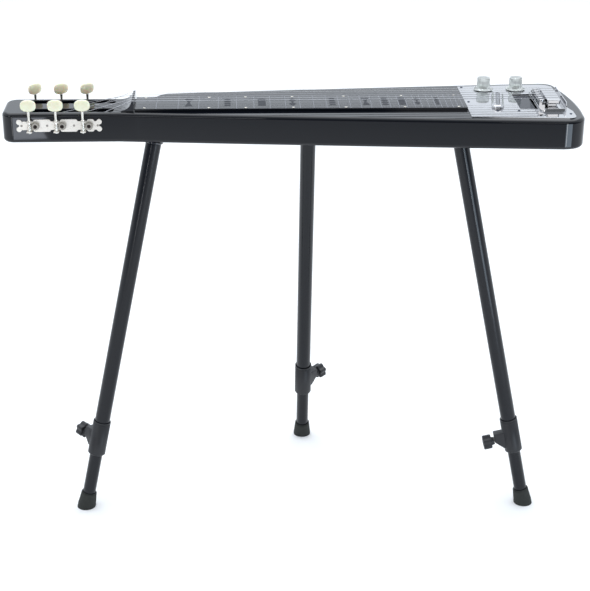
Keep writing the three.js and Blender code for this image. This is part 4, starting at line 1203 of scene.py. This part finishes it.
# Moulded phenolic: dark slate, glossy on its flat top.
phenolic, tree, shader = begin_finish(
    "moulded_dark_phenolic", "#1C202C", roughness=0.1, ior=1.3)
uneven(tree, shader, spacing=5 * mm, detail=4.0, roughness=(0.06, 0.16))
pickup = make("bridge_pickup_case", [pillow(rounded_outline(
    window_x - window_width / 2 + window_margin, window_x + window_width / 2 - window_margin,
    window_y - window_length / 2 + window_margin, window_y + window_length / 2 - window_margin, 1.2 * mm,
), pickup_top - pickup_depth, pickup_top, 0.8 * mm, 4)], phenolic)
foot = make("pickup_foot", [prism(rounded_outline(
    window_x - window_width / 4, window_x + window_width / 4,
    window_y - window_length / 4, window_y + window_length / 4, 1 * mm,
), -cavity_depth, pickup_top - pickup_depth + overrun)], phenolic)
combined(pickup, "UNION", foot)
softened(pickup, 0)
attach(pickup, "guitar")
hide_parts("bridge_pickup")


# Volume and tone controls: milky clear plastic knobs with a flat skirt, ringed with ticks, each on a
# black felt washer that is put there as painted shade under the skirt. The cases under the plate are
# plated zinc.
knob_low = 2.2 * mm
knob_hollow_radius = 4.8 * mm
knob_hollow_height = 6 * mm
# Pairs of (radius, height) in mm, above the knob's lower face.
knob_profile = [(13.6, 0), (13.9, 0.3), (13.9, 0.9), (13.5, 1.2), (10.6, 2.2), (9.9, 2.7),
                (9.7, 3.4), (9.1, 15.8), (8.8, 16.6), (8, 17), (0, 17)]
control_shaft = 2.4 * mm
control_shaft_depth = 9 * mm
shade_washer_radii = (control_shaft + 1.7 * mm, 12.6 * mm)
shade_washer_top = knob_low - 0.1 * mm
tick_count = 10
tick_size = Vector((1.6, 0.5, 0.1)) * mm
tick_circle = 12.1 * mm
tick_height = 1.75 * mm

# Milky cast plastic: light goes a little way in, so it glows faintly green at its edges.
milky, tree, shader = begin_finish(
    "milky_cast_plastic", "#E6ECE8", roughness=0.3, ior=1.49, transmission_weight=0.75)
uneven(tree, shader, spacing=8 * mm, detail=2.0, colours=("#ECF1ED", "#FCFEFC"))

# Pressed felt: black wool, matt, with a loose surface; as a disc under each knob it is painted shade for
# the skirt's shadow. Its fibres are drawn coarser than real ones.
painted_shade_felt, tree, shader = begin_finish("pressed_black_felt", "#141414", roughness=1.0)
uneven(tree, shader, spacing=0.3 * mm, detail=4.0, relief=(0.6, 0.2 * mm))

# Zinc plate: passivated, blotched between grey and straw.
zinc, tree, shader = begin_finish("passivated_zinc", "#B9B7AC", metallic=1.0, roughness=0.4)
uneven(tree, shader, spacing=4 * mm, detail=3.0, colours=("#B0B1B0", "#C4BC9C"))

tick_tree, given, tick_inputs = new_tree(
    "ticks", Count="Int", Circle="Float", Size="Vector", Centre="Vector", Ink="Material")
ring = add(tick_tree, "GeometryNodeMeshCircle", {
    "Vertices": given.outputs["Count"], "Radius": given.outputs["Circle"]})
step = add(tick_tree, "ShaderNodeMath", {0: math.tau, 1: given.outputs["Count"]}, operation="DIVIDE")
index = add(tick_tree, "GeometryNodeInputIndex")
angle = add(tick_tree, "ShaderNodeMath", {0: step.outputs[0], 1: index.outputs[0]}, operation="MULTIPLY")
turn = add(tick_tree, "ShaderNodeCombineXYZ", {"Z": angle.outputs[0]})
stroke = add(tick_tree, "GeometryNodeMeshCube", {"Size": given.outputs["Size"]})
strokes = add(tick_tree, "GeometryNodeInstanceOnPoints", {
    "Points": ring.outputs[0], "Instance": stroke.outputs[0], "Rotation": turn.outputs[0]})
moved = add(tick_tree, "GeometryNodeTransform", {
    "Geometry": strokes.outputs[0], "Translation": given.outputs["Centre"]})
end_tree(tick_tree, moved.outputs[0], given.outputs["Ink"])

for name, x in zip(("volume", "tone"), control_xs):
    place = body_frame @ Matrix.Translation((x, control_y, 0))
    knob = make(f"{name}_knob_plastic", [turned([
        (0, -control_shaft_depth), (control_shaft, -control_shaft_depth),
        (control_shaft, knob_low + knob_hollow_height),
        (knob_hollow_radius, knob_low + knob_hollow_height), (knob_hollow_radius, knob_low),
        *((radius * mm, knob_low + height * mm) for radius, height in knob_profile),
    ], 72)], milky, place)
    shade(knob, 25)
    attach(knob, name)
    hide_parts(f"{name}_knob")
    ticks = grown(f"{name}_knob_ticks", [(0, 0, 0)], tick_tree, tick_inputs, Count=tick_count,
                  Circle=tick_circle, Size=tick_size,
                  Centre=place @ Vector((0, 0, knob_low + tick_height)), Ink=inks["navy_screen_ink"])
    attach(ticks, name)
    # The black washer is painted shade: it stands for the shadow under the knob's skirt.
    shade_washer = make(f"{name}_felt_washer", [turned([
        (shade_washer_radii[0], sheet), (shade_washer_radii[1], sheet),
        (shade_washer_radii[1], shade_washer_top), (shade_washer_radii[0], shade_washer_top),
    ], 64)], painted_shade_felt, place)
    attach(shade_washer, "guitar")
    frame["nodes"][f"{name}_pot"].data.materials[0] = zinc


# Bridge: a chromed tray with a low rim and a taller rear wall, a cast bar of six round saddles and the
# block that the strings are anchored in. All three are bolted through the plate.
tray_x = scale_length + 10 * mm
tray_width = 38 * mm
tray_length = 97 * mm
tray_base = 2.4 * mm
rim_thickness = 1.2 * mm
rim_draft = 0.9 * mm
rim_top = 5.3 * mm
wall_top = 12.1 * mm
tray_corner = 8 * mm
wall_slope = 3 * mm
tray_floor = sheet + tray_base
tray_start = tray_x - tray_width / 2
tray_end = tray_x + tray_width / 2
anchor_width = 18.7 * mm
anchor_length = 68 * mm
anchor_top = 13.9 * mm
anchor_head = 6.5 * mm
anchor_inset = 3 * mm
groove_width = 1.1 * mm
groove_depth = 0.8 * mm
anchor_foot_inset = 10 * mm

half = tray_length / 2
tray_sides = (bridge_y - half, bridge_y + half)


def tray_outline(margin):
    return rounded_outline(tray_start + margin, tray_end - margin, tray_sides[0] + margin,
                           tray_sides[1] - margin, tray_corner - margin)


tray = make("bridge_tray_sheet", [lofted([
    lifted(tray_outline(0), sheet), lifted(tray_outline(rim_draft), rim_top)])], chrome)
tray_inside = make("tray_inside", [
    prism(tray_outline(rim_draft + rim_thickness), tray_floor, rim_top + overrun)], chrome)
tray_opening = make("tray_opening", [prism([
    (tray_start - overrun, tray_sides[0] - overrun),
    (tray_start + tray_corner, tray_sides[0] - overrun),
    (tray_start + tray_corner, tray_sides[1] + overrun),
    (tray_start - overrun, tray_sides[1] + overrun),
], tray_floor, rim_top + overrun)], chrome)
combined(tray, "DIFFERENCE", tray_inside, tray_opening)
wall_sides = (tray_sides[0] + tray_corner, tray_sides[1] - tray_corner)
combined(tray, "UNION", make("rear_wall", [lofted([[(x, y, z) for y, z in (
    (wall_sides[0], sheet), (wall_sides[1], sheet), (wall_sides[1], wall_top - wall_slope),
    (wall_sides[1] - wall_slope, wall_top), (wall_sides[0] + wall_slope, wall_top),
    (wall_sides[0], wall_top - wall_slope),
)] for x in (tray_end - rim_thickness, tray_end)])], chrome))
softened(tray, 0.4 * mm, 3)
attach(tray, "guitar")
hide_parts("bridge_tray")

saddle_bar_height = 6 * mm
saddles = make("bridge_saddle_bar", [prism([
    (saddle_x - saddle_radius, -3 * bridge_spacing), (saddle_x + saddle_radius, -3 * bridge_spacing),
    (saddle_x + saddle_radius, 3 * bridge_spacing), (saddle_x - saddle_radius, 3 * bridge_spacing),
], tray_floor, tray_floor + saddle_bar_height)], chrome)
lobes = [make(f"lobe_{i}", [turned([
    (0, tray_floor), (saddle_radius, tray_floor), (saddle_radius, saddle_top - 1 * mm),
    (saddle_radius - 0.3 * mm, saddle_top - 0.3 * mm), (saddle_radius - 1 * mm, saddle_top),
    (0, saddle_top),
], 40, saddle_x, (i - 2.5) * bridge_spacing)], chrome) for i in range(6)]
combined(saddles, "UNION", *lobes)
softened(saddles, 0.3 * mm, 2)
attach(saddles, "guitar")
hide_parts("bridge_saddles")

anchor_sides = (bridge_y - anchor_length / 2, bridge_y + anchor_length / 2)
anchor_end = anchor_start + anchor_width
anchor = make("string_anchor_block", [pillow(
    rounded_outline(anchor_start, anchor_end, *anchor_sides, 2.4 * mm),
    anchor_top - anchor_head, anchor_top, 1 * mm, 5)], chrome)
combined(anchor, "UNION", make("anchor_foot", [prism(rounded_outline(
    anchor_start + anchor_inset, anchor_end - anchor_inset,
    anchor_sides[0] + anchor_foot_inset, anchor_sides[1] - anchor_foot_inset, 1 * mm,
), tray_floor, anchor_top - anchor_head + overrun)], chrome))
grooves = []
half = groove_width / 2
for i in range(5):
    y = bridge_y + (i - 2) * anchor_length / 6
    grooves.append(make(f"anchor_groove_{i}", [prism([
        (anchor_start - overrun, y - half), (anchor_end + overrun, y - half),
        (anchor_end + overrun, y + half), (anchor_start - overrun, y + half),
    ], anchor_top - groove_depth, anchor_top + overrun)], chrome))
combined(anchor, "DIFFERENCE", *grooves)
softened(anchor, 0)
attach(anchor, "guitar")
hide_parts("string_anchor")


# Output jack: a turned, chromed sleeve for a lead's plug. Its round flange is let into a shallow
# seat on the far side of the body.
jack_bore = 3.4 * mm
jack_end_bore = 4 * mm
jack_end_length = 1 * mm
jack_mouth = 4.8 * mm
jack_lip = 0.6 * mm
jack_edge = 0.3 * mm
jack_end = 1 * mm - jack_length
jack_shoulder = seat_gap - jack_seat_depth
jack = make("output_jack_sleeve", [along_y(turned([
    (jack_end_bore, jack_end), (jack_sleeve_radius, jack_end), (jack_sleeve_radius, jack_shoulder),
    (jack_seat_radius - jack_edge, jack_shoulder), (jack_seat_radius, jack_shoulder + jack_edge),
    (jack_seat_radius, seat_gap - jack_lip), (jack_seat_radius - jack_lip, seat_gap),
    (jack_mouth + jack_lip, seat_gap), (jack_mouth, seat_gap - 0.5 * mm),
    (jack_bore, seat_gap - jack_lip), (jack_bore, jack_end + jack_end_length),
    (jack_end_bore, jack_end + jack_end_length),
], 64))], chrome, Matrix.Translation(jack_face))
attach(jack, "guitar")
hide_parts("output_jack")


# Legs: each screws by its stud into a black-chromed socket, and has an upper tube, a clamp collar, a
# sliding lower tube and a foot. The tubes are satin black steel, the collar and clamp knob are
# moulded and the foot is rubber.
leg_length = 586 * mm
leg_socket_flange = 3.1 * mm
stud_radius = 4.7 * mm
stud_length = 20 * mm
tube_radius = 11.1 * mm
tube_wall = 1.3 * mm
tube_end = 455 * mm
tube_plug = 9 * mm
lower_radius = 9.5 * mm
lower_top = 90 * mm
collar_radius = 13 * mm
collar_low = 495 * mm
collar_high = 440 * mm
boss_centre = 473 * mm
boss_reach = 26 * mm
boss_width = 14 * mm
boss_height = 26 * mm
clamp_stud = 3 * mm
star_radius = 11.8 * mm
star_start = 31 * mm
star_thickness = 12.5 * mm
star_dip_share = 0.2
foot_top = 561 * mm
foot_inner = 19 * mm
foot_top_radius = 11.4 * mm
foot_bottom_radius = 13.6 * mm
foot_below_floor = 3 * mm
# Pairs of (inward, upward) and of (inward, downward) in mm, from the edge that each one shapes.
foot_sole_steps = [(0, 5), (0.3, 6.5)]
foot_lip_steps = [(-0.1, 1.6), (0.5, 1.4), (0.5, 1), (0, 0.8), (0.3, 0)]
collar_groove_steps = [(0, 2.6), (0.6, 2.4), (0.6, 1.8), (0, 1.6), (0, 0.4), (0.4, 0)]
tube_edge = 0.8 * mm
collar_edge = 2 * mm
boss_chin = 12 * mm
star_round = 1.8 * mm
star_neck_gap = 0.6 * mm
star_neck_depth = 3 * mm
star_neck_radii = (5.6 * mm, 6.6 * mm)
star_dish_depth = 1 * mm
star_dish_radii = (6.4 * mm, 7.6 * mm)
cutter_reach = 400 * mm
cutter_depth = 100 * mm

# Baked satin enamel: charcoal black, sprayed thin, so the tube's drawing lines just show.
# They are drawn coarser than the real ones.
enamel, tree, shader = begin_finish(
    "baked_satin_enamel", "#0B0E15", roughness=0.16, ior=1.4)
uneven(tree, shader, spacing=1 * mm, stretch=(1.0, 1.0, 0.02), roughness=(0.1, 0.2))

# Moulded nylon: black, with the fine texture of its mould, drawn coarser so that it shows.
nylon, tree, shader = begin_finish("moulded_black_nylon", "#1B1C20", roughness=0.45)
uneven(tree, shader, spacing=0.6 * mm, detail=3.0, relief=(0.3, 0.05 * mm))

# Pressed rubber: dark grey, matt, dusted lighter where it has been handled.
rubber, tree, shader = begin_finish("pressed_grey_rubber", "#232522", roughness=0.8)
uneven(tree, shader, spacing=5 * mm, detail=6.0, colours=("#1D1F1D", "#2E312E"))


def along_x(form):
    """Turns a form so that its own z runs along x."""
    vertices, faces = form
    return [(z, y, -x) for x, y, z in vertices], faces


def star_outline(radius):
    outline = []
    for i in range(96):
        turn = math.tau * i / 96
        dip = star_dip_share * (1 - math.cos(6 * turn)) / 2
        outline.append((radius * (1 - dip) * math.cos(turn), radius * (1 - dip) * math.sin(turn)))
    return outline


for name, place in legs.items():
    leg = f"leg_{name}"
    socket = make(f"{leg}_socket_plate", [turned([
        (stud_radius + seat_gap, -leg_socket_flange),
        (socket_flange_radius - 1 * mm, -leg_socket_flange),
        (socket_flange_radius, 1 * mm - leg_socket_flange), (socket_flange_radius, 0),
        (socket_barrel_radius, 0), (socket_barrel_radius, socket_barrel_length),
        (stud_radius + seat_gap, socket_barrel_length),
    ], 64)], black_chrome, place)
    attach(socket, "guitar")
    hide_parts(f"leg_socket_{name}")

    shoulder = -leg_socket_flange - seat_gap
    upper = make(f"{leg}_upper_tube_steel", [turned([
        (0, stud_length), (stud_radius - tube_edge, stud_length), (stud_radius, stud_length - tube_edge),
        (stud_radius, shoulder), (tube_radius - tube_edge, shoulder),
        (tube_radius, shoulder - tube_edge), (tube_radius, -tube_end),
        (tube_radius - tube_wall, -tube_end),
        (tube_radius - tube_wall, shoulder - tube_plug), (0, shoulder - tube_plug),
    ], 64)], enamel, place)
    lower_end = seat_gap - foot_top - foot_inner
    lower = make(f"{leg}_lower_tube_steel", [turned([
        (lower_radius - tube_wall, lower_end), (lower_radius, lower_end),
        (lower_radius, -lower_top), (lower_radius - tube_wall, -lower_top),
    ], 64)], enamel, place)

    half = boss_width / 2
    boss_top = boss_height / 2 - boss_centre
    boss_low = -boss_height / 2 - boss_centre
    collar = make(f"{leg}_collar_moulding", [turned([
        (0, -collar_low), (collar_radius - collar_edge, -collar_low),
        (collar_radius, collar_edge - collar_low),
        *((collar_radius - inward * mm, -collar_high - down * mm)
          for inward, down in collar_groove_steps),
        (0, -collar_high),
    ], 64)], nylon, place)
    boss = make("boss", [lofted([[(x, side * half, z) for x, z in (
        (0, boss_top), (boss_reach, boss_top), (boss_reach, boss_low + boss_chin),
        (collar_radius + 1 * mm, boss_low), (0, boss_low),
    )] for side in (-1, 1)])], nylon, place)
    softened(boss, 1.2 * mm, 4)
    combined(collar, "UNION", boss)
    step = -tube_end - seat_gap
    bores = [make("upper_bore", [turned([
        (0, step), (tube_radius + seat_gap, step), (tube_radius + seat_gap, overrun - collar_high),
        (0, overrun - collar_high)])], nylon, place),
        make("lower_bore", [turned([
            (0, -collar_low - overrun), (lower_radius + seat_gap, -collar_low - overrun),
            (lower_radius + seat_gap, step + overrun), (0, step + overrun)])], nylon, place),
        make("screw_bore", [along_x(turned([
            (0, 0), (clamp_stud + seat_gap, 0), (clamp_stud + seat_gap, boss_reach + overrun),
            (0, boss_reach + overrun)]))], nylon, place @ Matrix.Translation((0, 0, -boss_centre)))]
    combined(collar, "DIFFERENCE", *bores)
    shade(collar, 30)

    clamp_frame = place @ Matrix.Translation((0, 0, -boss_centre))
    star_end = star_start + star_thickness
    outline = star_outline(star_radius)
    knob = make(f"{leg}_clamp_knob_star", [
        along_x(pillow(outline, star_start, star_end, star_round, 5))], nylon, clamp_frame)
    neck_start = boss_reach + star_neck_gap
    combined(knob, "UNION", make("neck", [along_x(turned([
        (0, neck_start), (star_neck_radii[0], neck_start), (star_neck_radii[1], star_start + 0.5 * mm),
        (star_neck_radii[1], star_start + star_neck_depth), (0, star_start + star_neck_depth),
    ]))], nylon, clamp_frame))
    combined(knob, "DIFFERENCE", make("face_dish", [along_x(turned([
        (0, star_end - star_dish_depth), (star_dish_radii[0], star_end - star_dish_depth),
        (star_dish_radii[1], star_end + overrun), (0, star_end + overrun),
    ]))], nylon, clamp_frame))
    shade(knob, 30)
    stud = make(f"{leg}_clamp_screw", [along_x(turned([
        (0, lower_radius + seat_gap), (clamp_stud - 0.5 * mm, lower_radius + seat_gap),
        (clamp_stud, lower_radius + 0.8 * mm), (clamp_stud, boss_reach + 0.5 * mm),
        (0, boss_reach + 0.5 * mm),
    ]))], nickel, clamp_frame)

    foot_low = -leg_length - foot_below_floor
    foot = make(f"{leg}_foot_rubber", [turned([
        (0, foot_low), (foot_bottom_radius, foot_low),
        *((foot_bottom_radius - inward * mm, above * mm - leg_length)
          for inward, above in foot_sole_steps),
        *((foot_top_radius - inward * mm, -foot_top - down * mm)
          for inward, down in foot_lip_steps),
        (lower_radius + seat_gap, -foot_top), (lower_radius + seat_gap, -foot_top - foot_inner),
        (0, -foot_top - foot_inner),
    ], 64)], rubber, place)
    below = make("below_floor", [prism([
        (place.translation.x + a * cutter_reach, place.translation.y + b * cutter_reach)
        for a, b in ((-1, -1), (1, -1), (1, 1), (-1, 1))], -cutter_depth, 0)], rubber, Matrix())
    combined(foot, "DIFFERENCE", below)
    shade(foot, 30)

    for item, rider, slot_name, node in (
        (upper, leg, "black_tube", f"leg_upper_tube_{name}"),
        (collar, leg, "moulded_black", f"leg_collar_{name}"),
        (lower, f"lower_{name}", "black_tube", f"leg_lower_tube_{name}"),
        (foot, f"lower_{name}", "black_rubber", f"leg_foot_{name}"),
        (knob, f"clamp_{name}", "moulded_black", f"leg_clamp_knob_{name}"),
    ):
        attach(item, rider)
        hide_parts(node)
    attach(stud, f"clamp_{name}")
